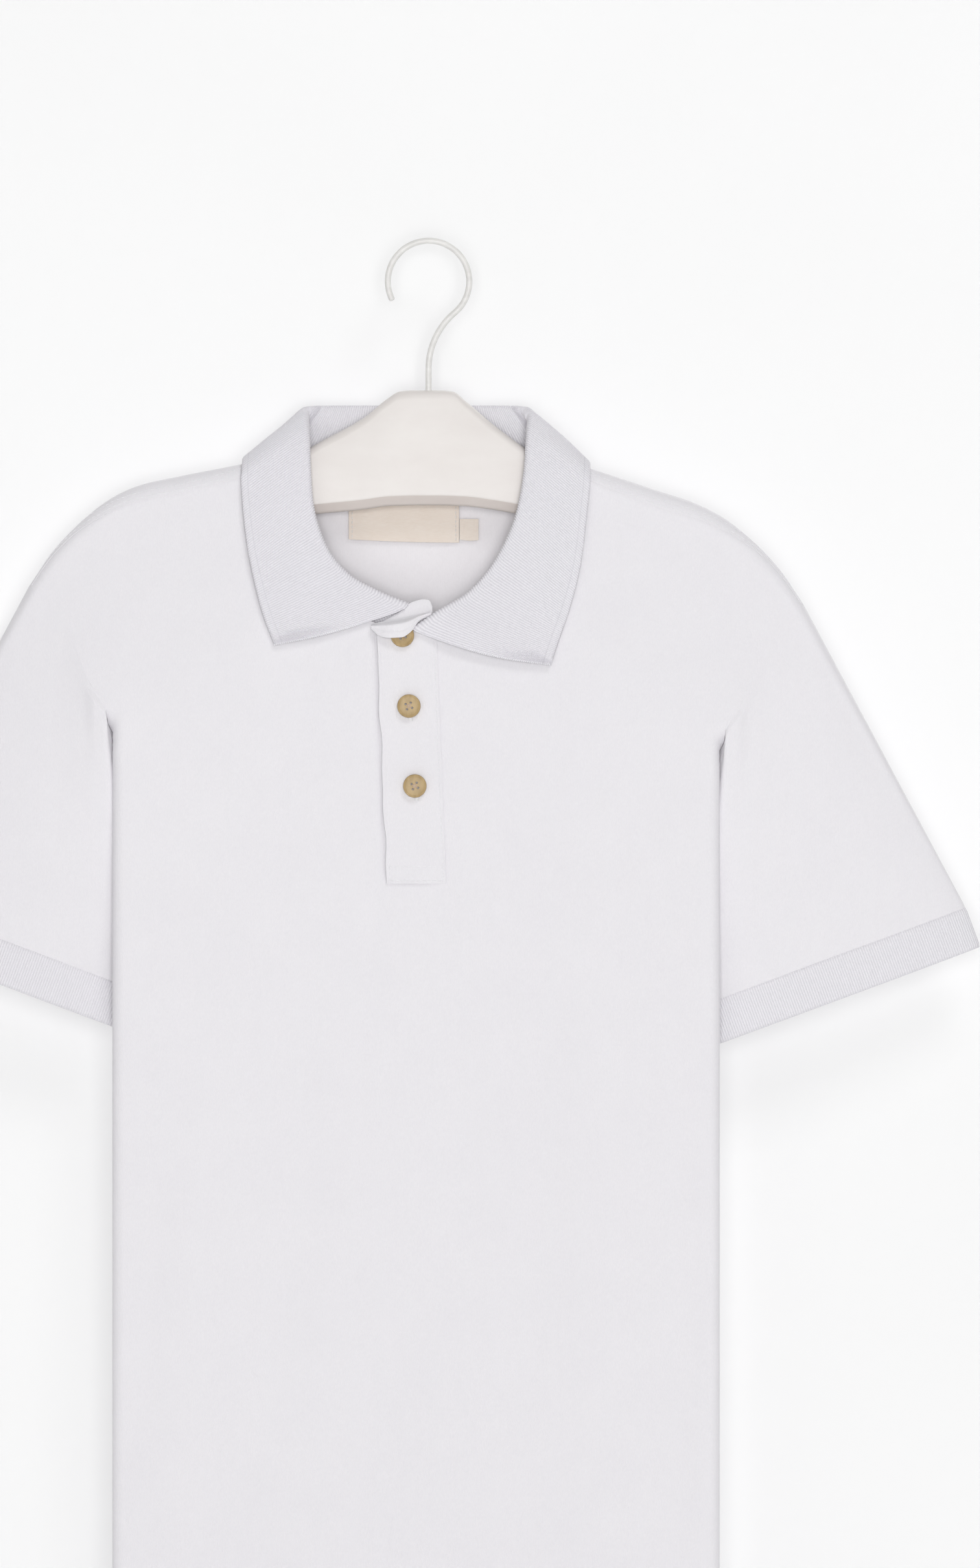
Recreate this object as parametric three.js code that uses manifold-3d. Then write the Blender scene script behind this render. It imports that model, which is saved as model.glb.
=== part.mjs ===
// A short-sleeved polo shirt that hangs on its hanger. Millimetres, +Z up, front towards -Y.
// The origin is the point of the hook that rests on the rail.
// Each piece of cloth is a thin closed wall with the shape that its cut takes as it hangs.
// A "drop" is a distance below the top of the hanger, and x runs from the shirt's centre line.

import * as THREE from "three";
import Module from "manifold-3d";
import { mergeVertices } from "three/addons/utils/BufferGeometryUtils.js";

const wasm = await Module();
wasm.setup();

// How the shirt hangs
const HANGER_TOP_Z = -72;
const SHIRT_X = -6;
const LEFT_SHOULDER_LIFT = 9;
const LIFT_ACROSS = { from: 55, to: 150 };
const LIFT_FADES = { from: 250, to: 650 };
const HEM_DROP = 715;

// Cloth
const JERSEY = 1.4;
const RIB = 1.8;
const SATIN = 1;
const SEAM_GAP = 0.35;
const SHOULDER_SEAM_GAP = 1;
const HEM_HEIGHT = 20;
const HEM_RISE = 0.6;

// Body sections: how deep the cloth stands off the middle plane, and how its sides fold in
const RIDGE_RADIUS = 9.5;
const DEPTH_RUN = 130;
const CENTRE_DEPTH = 17;
const FOLD_DEPTH = 24;
const BACK_NECK_EASE = 4;
const EASE_FADES = { from: 90, to: 220 };
const FOLD_X = 148.6;
const FOLD_RADIUS = 6;
const FOLD_STARTS = 164;
const FOLD_RUN = 26;
const GUSSET_LENGTH = 80;
const NOSE_RADIUS = 3;
const SEAM_TAIL = 0.9;

// The top line of the right shoulder, from the neck to the sleeve
const SHOULDER_X = 190;
const RIDGE = [
  { x: 79, drop: 36.3 },
  { x: 98, drop: 42.5 },
  { x: 117, drop: 48.9 },
  { x: 136, drop: 55.2 },
  { x: 150, drop: 62.2 },
  { x: 164, drop: 73 },
  { x: 178, drop: 87.6 },
  { x: SHOULDER_X, drop: 105 },
];

// How far in front of the top line the shoulder seam runs
const FORWARD_SEAM = [
  { x: 79, below: 6 },
  { x: 120, below: 8.5 },
  { x: 150, below: 6.5 },
  { x: 170, below: 3 },
  { x: SHOULDER_X, below: 1.5 },
];

// The seam of neck and collar
const NECK_X = 79;
const FRONT_NECK = [
  { x: 0, drop: 118.5 },
  { x: 12, drop: 117 },
  { x: 24, drop: 112.5 },
  { x: 36, drop: 106 },
  { x: 48, drop: 97 },
  { x: 60, drop: 84.5 },
  { x: 69, drop: 70 },
  { x: 75, drop: 56 },
  { x: NECK_X, drop: 42.3 },
];
const BACK_NECK = [
  { x: 0, drop: 43.5 },
  { x: 40, drop: 43 },
  { x: 60, drop: 41.8 },
  { x: 72, drop: 39.5 },
  { x: NECK_X, drop: 36.3 },
];

const BACK_SEAM_X = [0, 20, 40, 56, 66, 73, 77];
const FRONT_SEAM_X = [NECK_X, 75, 69, 60, 48, 36, 24, 16];

// The armhole: how far the cloth reaches from the centre line at each height
const UNDERARM_DROP = 230;
const TURN_X = FOLD_X - FOLD_RADIUS;
const FOLD_TURN = foldTurn();
const FOLD_ARC = FOLD_RADIUS * FOLD_TURN;
const NOSE_ARC = NOSE_RADIUS * (FOLD_TURN - Math.PI / 2);
const SIDE_REACH = TURN_X + FOLD_ARC + GUSSET_LENGTH + NOSE_ARC + SEAM_TAIL;
const ARMHOLE = [
  { drop: 105, reach: SHOULDER_X },
  { drop: 127, reach: 171 },
  { drop: 152, reach: 161 },
  { drop: 167, reach: 154 },
  { drop: 176, reach: 160 },
  { drop: 186, reach: 176 },
  { drop: 200, reach: 203 },
  { drop: 215, reach: 228 },
  { drop: UNDERARM_DROP, reach: SIDE_REACH },
];

// Columns of the panels from the centre line out: cells up to the slash, a column below the
// neck's side, the neck's side, the start of the side fold, its end, the nose, the tail and the edge
const PANEL_CELLS = { slot: 1, throat: 4, neck: 3, turn: 3, arc: 5, gusset: 2, nose: 2, tail: 1 };
const THROAT_X = 66;
const UPPER_TURN_X = 126;
const TURN_SETTLES = { from: 105, to: 165 };
const SHORT_ARC_SHARE = 0.6;

// Rows of the panels
const REFERENCE_DROP = 130;
const WRAP_ROWS = [1, 0.4, 0.1];
const TOP_ROWS = { front: [0, 0.12, 0.36, 0.68], back: [0, 0.01, 0.035, 0.09, 0.22, 0.55] };
const FOLD_ROW = 171;
const ARM_ROWS = [REFERENCE_DROP, 142, 154, 163, FOLD_ROW, 179, 188, 200, 214];
const BODY_ROWS = [UNDERARM_DROP, 240, 262, 295, 345, 410, 480, 550, 625];
const HEM_STEP = 0.8;

// Soft upright folds of the body, where x counts from the centre line. They grow over a run of
// height and fade towards the side folds.
const DRAPE_RUN = 170;
const DRAPE_FADES = { from: 118, to: 138 };
const DRAPES = {
  front: [
    { x: -112, width: 20, rise: 1.6, from: 250 },
    { x: -40, width: 26, rise: 0.8, from: 330 },
    { x: 86, width: 17, rise: 1.3, from: 230 },
  ],
  back: [
    { x: -84, width: 22, rise: 1.5, from: 240 },
    { x: 8, width: 26, rise: 1, from: 300 },
    { x: 104, width: 18, rise: 1.4, from: 260 },
  ],
};

// Sleeve and cuff: the outer and inner corner of the flat cuff's lower edge
const CUFF_OUTER = { x: 276.8, drop: 273.3 };
const CUFF_INNER = { x: 131.8, drop: 327 };
const CUFF_BAND = 20.6;
const CUFF_THICKNESS = 2;
const CUFF_HALF_DEPTH = 11;
const SLEEVE_ROWS = [0, 0.1, 0.28, 0.5, 0.75, 1];
const FOLD_SHARE = 0.38;

// Placket
const PLACKET_TOP_DROP = 122;
const PLACKET_BOTTOM_DROP = 242.2;
const PLACKET_TOP_X = -4.4;
const PLACKET_BOTTOM_X = 0.3;
const PLACKET_HALF_WIDTH = 14.6;
const PLACKET_LAP = 1.4;
const CENTRE_STRAIGHT_DROP = 400;
const SLOT_HALF_WIDTH = PLACKET_HALF_WIDTH - PLACKET_LAP;
const SLOT_BOTTOM_DROP = 240;
const LAYER = 0.35;

const TONGUE_EDGE = [
  { u: 0, drop: 114.8 },
  { u: 0.48, drop: 108.4 },
  { u: 0.6, drop: 105 },
  { u: 0.85, drop: 103 },
  { u: 0.95, drop: 103.6 },
  { u: 1, drop: 106 },
];
const PLACKET_EDGE = [
  { u: 0, drop: 120.4 },
  { u: 0.12, drop: 118 },
  { u: 0.5, drop: 117.6 },
  { u: 1, drop: 121 },
];
const NECK_FOLD = [
  { u: 0, x: -19.4, upper: 115.2, lower: 119.6, stand: 0.4 },
  { u: 0.3, x: -14, upper: 113.4, lower: 120.6, stand: 3.4 },
  { u: 0.7, x: -7, upper: 112.2, lower: 120.9, stand: 3.8 },
  { u: 1, x: -1.9, upper: 111.6, lower: 117.4, stand: 3.2 },
];
const NECK_FOLD_ROLL = 0.3;

// Collar sections from the centre back round to each front end. Seam is the share of the way along
// the neck seam, tuck is how far the stand starts inside the seam, and sink how far below its face.
const ROLL_RADIUS = 2.6;
const ROLL_DEGREES = [0, 45, 90, 135, 180];
const FALL_SHARES = [0.3, 0.65, 1];
const COLLAR_BACK = [
  {
    seam: 0, tuck: 1.5, sink: 4.3, sag: 0,
    rollX: 0, rollY: 12, rollDrop: 7, edgeX: 0, edgeY: 16.4, edgeDrop: 52,
  },
  {
    seam: 0.2, tuck: 1.2, sink: 4.4, sag: 0,
    rollX: 33, rollY: 11.6, rollDrop: 7, edgeX: 42, edgeY: 15.6, edgeDrop: 51.5,
  },
  {
    seam: 0.33, tuck: -1, sink: 3.6, sag: 0,
    rollX: 47, rollY: 10, rollDrop: 7.2, edgeX: 69, edgeY: 14, edgeDrop: 48,
  },
  {
    seam: 0.385, tuck: -1.9, sink: 1.8, sag: 0,
    rollX: 53, rollY: 6.5, rollDrop: 8.5, edgeX: 81, edgeY: 11.8, edgeDrop: 41,
  },
  {
    seam: 0.403, tuck: -1.7, sink: 0.8, sag: 0,
    rollX: 54.6, rollY: 3.4, rollDrop: 10, edgeX: 85.4, edgeY: 7.4, edgeDrop: 37,
  },
];
const COLLAR_RIGHT = [
  {
    seam: 0.42, tuck: -1, sink: 0, sag: 0,
    rollX: 55.5, rollY: 0, rollDrop: 12, edgeX: 87.5, edgeY: 0, edgeDrop: 35.4,
  },
  {
    seam: 0.445, tuck: -1.3, sink: 1.4, sag: 0,
    rollX: 55.2, rollY: -3.4, rollDrop: 16, edgeX: 87.5, edgeY: -7.4, edgeDrop: 38.4,
  },
  {
    seam: 0.47, tuck: -1.5, sink: 2.8, sag: 0,
    rollX: 54.5, rollY: -6.8, rollDrop: 21, edgeX: 86.6, edgeY: -12.2, edgeDrop: 45,
  },
  {
    seam: 0.54, tuck: -1, sink: 3.9, sag: 0,
    rollX: 53, rollY: -10.6, rollDrop: 36, edgeX: 83.5, edgeY: -13.8, edgeDrop: 62,
  },
  {
    seam: 0.65, tuck: 1.5, sink: 3.9, sag: 0,
    rollX: 49.5, rollY: -12, rollDrop: 58, edgeX: 80.5, edgeY: -15.8, edgeDrop: 86,
  },
  {
    seam: 0.77, tuck: 1, sink: 3.9, sag: 0,
    rollX: 40, rollY: -13.6, rollDrop: 81, edgeX: 75, edgeY: -18, edgeDrop: 108,
  },
  {
    seam: 0.88, tuck: -2.4, sink: 3.4, sag: 1,
    rollX: 25.5, rollY: -15.2, rollDrop: 99, edgeX: 69.5, edgeY: -19.6, edgeDrop: 124,
  },
  {
    seam: 0.95, tuck: -2, sink: -0.6, sag: 2,
    rollX: 9.5, rollY: -17.6, rollDrop: 109, edgeX: 66.6, edgeY: -20.4, edgeDrop: 133,
  },
  {
    seam: 1, tuck: -1.4, sink: -0.6, sag: 2.2,
    rollX: -1.7, rollY: -19.4, rollDrop: 117.6, edgeX: 66, edgeY: -20.8, edgeDrop: 135.1,
  },
];
const COLLAR_LEFT = [
  {
    seam: 0.42, tuck: -1, sink: 0, sag: 0,
    rollX: 55.5, rollY: 0, rollDrop: 12, edgeX: 87.5, edgeY: 0, edgeDrop: 35.4,
  },
  {
    seam: 0.445, tuck: -1.3, sink: 1.4, sag: 0,
    rollX: 55, rollY: -3.4, rollDrop: 16, edgeX: 87.6, edgeY: -7.4, edgeDrop: 38.4,
  },
  {
    seam: 0.47, tuck: -1.5, sink: 2.8, sag: 0,
    rollX: 54, rollY: -6.8, rollDrop: 21, edgeX: 87.2, edgeY: -12.2, edgeDrop: 45,
  },
  {
    seam: 0.54, tuck: -1, sink: 3.9, sag: 0,
    rollX: 52.5, rollY: -10.6, rollDrop: 34, edgeX: 85.5, edgeY: -13.8, edgeDrop: 60,
  },
  {
    seam: 0.65, tuck: 1.5, sink: 3.9, sag: 0,
    rollX: 50.5, rollY: -12, rollDrop: 54, edgeX: 82.5, edgeY: -15.6, edgeDrop: 80,
  },
  {
    seam: 0.77, tuck: 1.5, sink: 3.9, sag: 0,
    rollX: 44, rollY: -13.4, rollDrop: 76, edgeX: 78.5, edgeY: -17.4, edgeDrop: 99,
  },
  {
    seam: 0.88, tuck: 1.5, sink: 3.9, sag: 0.5,
    rollX: 33, rollY: -13.8, rollDrop: 90, edgeX: 74.5, edgeY: -18.6, edgeDrop: 113,
  },
  {
    seam: 0.95, tuck: 1.5, sink: 3.9, sag: 1,
    rollX: 17, rollY: -13.8, rollDrop: 99, edgeX: 70.5, edgeY: -19.2, edgeDrop: 123,
  },
  {
    seam: 1, tuck: 1.5, sink: 3.9, sag: 1.5,
    rollX: 3.6, rollY: -13.8, rollDrop: 104.6, edgeX: 69.3, edgeY: -19.6, edgeDrop: 126,
  },
];
const COLLAR_STATIONS = [
  0, 0.1, 0.2, 0.27, 0.33, 0.36, 0.385, 0.4, 0.42, 0.445, 0.47, 0.505,
  0.54, 0.595, 0.65, 0.71, 0.77, 0.825, 0.88, 0.92, 0.95, 0.975, 1,
];
const RIGHT_SEAM_END = { x: -2, drop: 118.5 };
const LEFT_SEAM_END = { x: 4, drop: 107.5 };

// Buttons
const BUTTON_RADIUS = 5.75;
const BUTTON_THICKNESS = 2.4;
const BUTTON_SECTION = [
  { inset: BUTTON_RADIUS, height: 0 },
  { inset: 0.7, height: 0 },
  { inset: 0, height: 0.8 },
  { inset: 0.2, height: 2 },
  { inset: 0.8, height: BUTTON_THICKNESS },
  { inset: 1.6, height: 2.1 },
  { inset: BUTTON_RADIUS, height: 1.8 },
];
const BUTTON_HOLE = 1.2;
const BUTTON_HOLE_CIRCLE = 1.5;
const BUTTON_TURN = 0.26;
const BUTTONS = [
  { x: -6.7, drop: 120.6 },
  { x: -3.5, drop: 155.2 },
  { x: -0.6, drop: 194.3 },
];

// Label and size tab on the inside of the back
const LABEL = { left: -33.3, right: 20.9, top: 49, bottom: 72.9, tilt: 0.03 };
const SIZE_TAB = { left: 21.2, right: 30.5, top: 62.9, bottom: 73, tilt: 0.03 };

// Hanger body, where x counts from the hook: upper and lower edge and half the thickness
const HANGER = [
  { x: -172, top: 86, bottom: 98, half: 4.5 },
  { x: -168, top: 80.5, bottom: 99, half: 7.2 },
  { x: -152, top: 66, bottom: 89, half: 7.2 },
  { x: -136, top: 57.2, bottom: 82, half: 7.2 },
  { x: -120, top: 51.9, bottom: 76, half: 7.2 },
  { x: -104, top: 46.5, bottom: 70, half: 7.2 },
  { x: -92, top: 45, bottom: 66, half: 6 },
  { x: -76, top: 40.5, bottom: 63.4, half: 5 },
  { x: -58.6, top: 28.4, bottom: 61.2, half: 5 },
  { x: -31.6, top: 13.3, bottom: 58.5, half: 5 },
  { x: -20, top: 4, bottom: 56.9, half: 5 },
  { x: -14, top: 0.5, bottom: 56.7, half: 5 },
  { x: -8, top: 0, bottom: 56.5, half: 5 },
  { x: 6, top: 0, bottom: 56.5, half: 5 },
  { x: 12, top: 0.6, bottom: 56.7, half: 5 },
  { x: 18.6, top: 5.6, bottom: 57, half: 5 },
  { x: 31.2, top: 16.3, bottom: 58.6, half: 5 },
  { x: 45.6, top: 27.1, bottom: 61, half: 5 },
  { x: 64, top: 38.5, bottom: 63.4, half: 5 },
  { x: 84, top: 45, bottom: 66.5, half: 6 },
  { x: 98, top: 46.9, bottom: 71, half: 7.2 },
  { x: 114, top: 52.2, bottom: 76, half: 7.2 },
  { x: 130, top: 57.6, bottom: 82, half: 7.2 },
  { x: 146, top: 67.2, bottom: 90, half: 7.2 },
  { x: 158, top: 77.6, bottom: 97, half: 7.2 },
  { x: 167, top: 87.6, bottom: 104, half: 7.2 },
  { x: 171, top: 93.5, bottom: 103, half: 4.5 },
];
const HANGER_BEVEL_HEIGHT = 5;
const HANGER_BEVEL_DEPTH = 3;
const HANGER_RIM_DEGREES = [90, 64, 38, 16];
const LIFTED_ARM_X = -80;

// Hook
const WIRE_RADIUS = 1.5;
const WIRE_SIDES = 8;
const LOOP_RADIUS = 20;
const LOOP_START = THREE.MathUtils.degToRad(-50);
const LOOP_END = THREE.MathUtils.degToRad(205);
const HOOK_SOCKET_DEPTH = 8;
const HOOK_CLEARANCE = 0.3;

const COLOURS = {
  jersey: 0xe5e3e7,
  rib: 0xe3e2e8,
  satin: 0xeee2d0,
  button: 0xc8b487,
  hanger: 0xe8e6e2,
  wire: 0xdcdad6,
};

function clamp01(value) {
  return Math.min(1, Math.max(0, value));
}

function mix(from, to, share) {
  return from + (to - from) * share;
}

function smooth(from, to, value) {
  const share = clamp01((value - from) / (to - from));
  return share * share * (3 - 2 * share);
}

// A smooth reading between the rows of a table, with no overshoot
function read(table, by, column, at) {
  const last = table.length - 1;
  if (at <= table[0][by]) return table[0][column];
  if (at >= table[last][by]) return table[last][column];
  let row = 0;
  while (at > table[row + 1][by]) row += 1;
  const rate = (k) => (table[k + 1][column] - table[k][column]) / (table[k + 1][by] - table[k][by]);
  const slope = (k) => {
    if (k === 0) return rate(0);
    if (k === last) return rate(last - 1);
    const before = rate(k - 1);
    const after = rate(k);
    return before * after <= 0 ? 0 : (2 * before * after) / (before + after);
  };
  const span = table[row + 1][by] - table[row][by];
  const t = (at - table[row][by]) / span;
  const start = (1 + 2 * t) * (1 - t) ** 2 * table[row][column] + t * (1 - t) ** 2 * span * slope(row);
  const end = t * t * (3 - 2 * t) * table[row + 1][column] - t * t * (1 - t) * span * slope(row + 1);
  return start + end;
}

function fullDepth(x) {
  return CENTRE_DEPTH + (FOLD_DEPTH - CENTRE_DEPTH) * (x / FOLD_X) ** 2;
}

// How far the cloth turns at a side fold, so that the gusset ends on the middle plane
function foldTurn() {
  const radii = FOLD_RADIUS + NOSE_RADIUS;
  const depth = fullDepth(TURN_X) - FOLD_RADIUS - SEAM_TAIL;
  return Math.PI + Math.atan2(radii, GUSSET_LENGTH) - Math.asin(depth / Math.hypot(radii, GUSSET_LENGTH));
}

// From the shirt's own x, y and drop to the place where it hangs. The left shoulder rides higher.
function hang(x, y, drop) {
  const across = smooth(LIFT_ACROSS.from, LIFT_ACROSS.to, -x);
  const lift = LEFT_SHOULDER_LIFT * across * (1 - smooth(LIFT_FADES.from, LIFT_FADES.to, drop));
  return new THREE.Vector3(x + SHIRT_X, y, HANGER_TOP_Z - drop + lift);
}

// How far the cloth stands off the middle plane, before its sides fold in
function halfDepth(face, x, drop) {
  const across = Math.abs(x);
  const below = Math.max(0, drop - read(RIDGE, "x", "drop", across));
  const round = Math.sqrt(1 - (1 - clamp01(below / RIDGE_RADIUS)) ** 2);
  const spread = (fullDepth(across) - RIDGE_RADIUS) * smooth(0, DEPTH_RUN, below);
  const ease = face === "back" ? BACK_NECK_EASE * Math.max(0, 1 - (across / NECK_X) ** 2) : 0;
  let drape = 0;
  for (const fold of DRAPES[face]) {
    const bell = Math.exp(-(((x - fold.x) / fold.width) ** 2));
    drape += fold.rise * bell * smooth(fold.from, fold.from + DRAPE_RUN, drop);
  }
  drape *= 1 - smooth(DRAPE_FADES.from, DRAPE_FADES.to, across);
  const eased = ease * round * (1 - smooth(EASE_FADES.from, EASE_FADES.to, drop));
  return RIDGE_RADIUS * round + spread + eased + drape;
}

// A point of the body's outer face, by its reach along the cloth from the centre line
function bodyPoint(face, side, reach, drop) {
  const facing = face === "front" ? -1 : 1;
  const folded = smooth(FOLD_STARTS, FOLD_STARTS + FOLD_RUN, drop);
  const turn = FOLD_TURN * folded;
  if (reach <= TURN_X || turn === 0) {
    return hang(side * reach, facing * halfDepth(face, side * reach, drop), drop);
  }
  const past = reach - TURN_X;
  const arc = Math.min(past, FOLD_RADIUS * turn);
  const angle = arc / FOLD_RADIUS;
  const straight = Math.min(past - arc, mix(SIDE_REACH, GUSSET_LENGTH, folded));
  const beyond = past - arc - straight;
  const nose = Math.min(beyond, NOSE_ARC) / NOSE_RADIUS;
  const tail = Math.max(0, beyond - NOSE_ARC);
  let x = TURN_X + FOLD_RADIUS * Math.sin(angle) + straight * Math.cos(turn);
  let inward = FOLD_RADIUS * (1 - Math.cos(angle)) + straight * Math.sin(turn);
  x -= NOSE_RADIUS * (Math.sin(turn - nose) - Math.sin(turn));
  inward += NOSE_RADIUS * (Math.cos(turn - nose) - Math.cos(turn)) + tail;
  const flat = mix(reach, TURN_X, folded);
  const depth = halfDepth(face, side * flat, drop) - inward;
  return hang(side * x, facing * Math.max(0, depth), drop);
}

function armholeReach(drop) {
  return read(ARMHOLE, "drop", "reach", drop);
}

function panelReach(drop) {
  return armholeReach(drop) - SEAM_GAP / 2;
}

function placketCentre(drop) {
  const share = (drop - PLACKET_TOP_DROP) / (PLACKET_BOTTOM_DROP - PLACKET_TOP_DROP);
  const leaning = mix(PLACKET_TOP_X, PLACKET_BOTTOM_X, Math.min(1, share));
  return leaning * (1 - smooth(PLACKET_BOTTOM_DROP, CENTRE_STRAIGHT_DROP, drop));
}

// A closed wall of cloth on a grid of points of its outer face. Cells that "keep" refuses are holes.
function wall(rows, { thickness, flip = false, closed = false, keep = () => true, raise = () => 0 }) {
  const columns = rows[0].length;
  const across = closed ? columns : columns - 1;
  const cells = [];
  for (let j = 0; j + 1 < rows.length; j += 1) {
    for (let i = 0; i < across; i += 1) {
      if (!keep(j, i)) continue;
      const next = (i + 1) % columns;
      const corners = [[j, i], [j, next], [j + 1, next], [j + 1, i]];
      cells.push(flip ? corners.reverse() : corners);
    }
  }
  const normals = rows.map((row) => row.map(() => new THREE.Vector3()));
  for (const cell of cells) {
    const [a, b, c, d] = cell.map(([j, i]) => rows[j][i]);
    const normal = c.clone().sub(a).cross(d.clone().sub(b));
    for (const [j, i] of cell) normals[j][i].add(normal);
  }
  const positions = [];
  const numbers = new Map();
  const vertex = ([j, i], inner) => {
    const name = `${j},${i},${inner}`;
    if (!numbers.has(name)) {
      const out = inner ? -thickness : raise(j, i);
      const point = rows[j][i].clone().addScaledVector(normals[j][i].clone().normalize(), out);
      numbers.set(name, positions.length / 3);
      positions.push(point.x, point.y, point.z);
    }
    return numbers.get(name);
  };
  const triangles = [];
  const quad = (a, b, c, d) => triangles.push(a, b, c, a, c, d);
  const edges = new Map();
  for (const cell of cells) {
    const outer = cell.map((corner) => vertex(corner, false));
    const inner = cell.map((corner) => vertex(corner, true));
    quad(...outer);
    quad(...inner.reverse());
    cell.forEach((corner, k) => {
      const after = cell[(k + 1) % 4];
      const back = `${after}|${corner}`;
      if (edges.has(back)) edges.delete(back);
      else edges.set(`${corner}|${after}`, [corner, after]);
    });
  }
  for (const [from, to] of edges.values()) {
    quad(vertex(to, false), vertex(from, false), vertex(from, true), vertex(to, true));
  }
  return solidGeometry(positions, triangles);
}

function solidGeometry(positions, triangles) {
  const geometry = new THREE.BufferGeometry();
  geometry.setAttribute("position", new THREE.Float32BufferAttribute(positions, 3));
  geometry.setIndex(triangles);
  return geometry;
}

// A closed solid through rings of points, capped at both ends
function loft(rings) {
  const count = rings[0].length;
  const positions = rings.flat().flatMap((point) => [point.x, point.y, point.z]);
  const triangles = [];
  for (let j = 0; j + 1 < rings.length; j += 1) {
    for (let i = 0; i < count; i += 1) {
      const a = j * count + i;
      const b = j * count + ((i + 1) % count);
      triangles.push(a, b, b + count, a, b + count, a + count);
    }
  }
  for (const [ring, order] of [[0, -1], [rings.length - 1, 1]]) {
    const centre = rings[ring].reduce((sum, point) => sum.add(point), new THREE.Vector3());
    centre.divideScalar(count);
    positions.push(centre.x, centre.y, centre.z);
    const tip = positions.length / 3 - 1;
    for (let i = 0; i < count; i += 1) {
      const a = ring * count + i;
      const b = ring * count + ((i + 1) % count);
      triangles.push(...(order > 0 ? [a, b, tip] : [b, a, tip]));
    }
  }
  return solidGeometry(positions, triangles);
}

// Cutting
function toManifold(geometry) {
  const bare = geometry.clone();
  bare.deleteAttribute("normal");
  bare.deleteAttribute("uv");
  const merged = mergeVertices(bare);
  const mesh = new wasm.Mesh({
    numProp: 3,
    vertProperties: new Float32Array(merged.attributes.position.array),
    triVerts: new Uint32Array(merged.index.array),
  });
  return new wasm.Manifold(mesh);
}

function fromManifold(solid) {
  const mesh = solid.getMesh();
  return solidGeometry(Array.from(mesh.vertProperties), Array.from(mesh.triVerts));
}

function cut(geometry, tools) {
  let solid = toManifold(geometry);
  for (const tool of tools) solid = solid.subtract(toManifold(tool));
  return fromManifold(solid);
}

// The reaches of one side's columns at one row, from the placket's centre line to the edge. Above
// the side fold, where the cloth ends sooner, the outer columns share what is left.
function columnReaches(side, drop, end) {
  const centre = side * placketCentre(Math.max(drop, FRONT_NECK[1].drop));
  const turn = mix(UPPER_TURN_X, TURN_X, smooth(TURN_SETTLES.from, TURN_SETTLES.to, drop));
  const arc = Math.min(FOLD_ARC, SHORT_ARC_SHARE * (end - turn));
  const rest = end - turn - arc;
  const tail = Math.min(SEAM_TAIL, rest / 6);
  const nose = Math.min(NOSE_ARC, rest / 3);
  const stops = {
    slot: centre + SLOT_HALF_WIDTH,
    throat: THROAT_X,
    neck: NECK_X,
    turn,
    arc: turn + arc,
    gusset: end - tail - nose,
    nose: end - tail,
    tail: end,
  };
  const reaches = [centre];
  let from = centre;
  for (const [name, at] of Object.entries(stops)) {
    const cells = PANEL_CELLS[name];
    for (let k = 1; k <= cells; k += 1) reaches.push(mix(from, at, k / cells));
    from = at;
  }
  return reaches;
}

function shoulderDrop(face, across) {
  const ridge = read(RIDGE, "x", "drop", across);
  return face === "front" ? ridge + read(FORWARD_SEAM, "x", "below", across) : ridge;
}

function topDrop(face, across) {
  if (across > NECK_X - 0.01) return shoulderDrop(face, across);
  return read(face === "front" ? FRONT_NECK : BACK_NECK, "x", "drop", across);
}

// One full row of a panel, from the left side to the right side, made by a function of side and reach
function fullRow(drop, end, place) {
  const half = (side) => columnReaches(side, drop, end).map((reach) => place(side, reach));
  return [...half(-1).reverse(), ...half(1).slice(1)];
}

function panelRows(face) {
  const rows = [];
  const shoulder = shoulderDrop(face, SHOULDER_X);
  if (face === "back") {
    for (const share of WRAP_ROWS) {
      const end = panelReach(shoulder + share * read(FORWARD_SEAM, "x", "below", SHOULDER_X));
      rows.push(fullRow(shoulder, end, (side, reach) => {
        const gap = share === 1 ? SHOULDER_SEAM_GAP : 0;
        const below = share * read(FORWARD_SEAM, "x", "below", reach) - gap;
        const drop = read(RIDGE, "x", "drop", reach) + below;
        return bodyPoint("front", side, reach, drop);
      }));
    }
  }
  for (const share of TOP_ROWS[face]) {
    const endDrop = mix(shoulder, REFERENCE_DROP, share);
    const end = panelReach(endDrop);
    const stretch = (SHOULDER_X - NECK_X) / (end - NECK_X);
    rows.push(fullRow(endDrop, end, (side, reach) => {
      const across = Math.abs(reach);
      const above = across > NECK_X ? NECK_X + (across - NECK_X) * stretch : across;
      const drop = mix(topDrop(face, above), REFERENCE_DROP, share);
      return bodyPoint(face, side, reach, drop);
    }));
  }
  const hem = [HEM_DROP - HEM_HEIGHT, HEM_DROP - HEM_HEIGHT + HEM_STEP, HEM_DROP];
  for (const drop of [...ARM_ROWS, ...BODY_ROWS, ...hem]) {
    rows.push(fullRow(drop, panelReach(drop), (side, reach) => bodyPoint(face, side, reach, drop)));
  }
  return rows;
}

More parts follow.
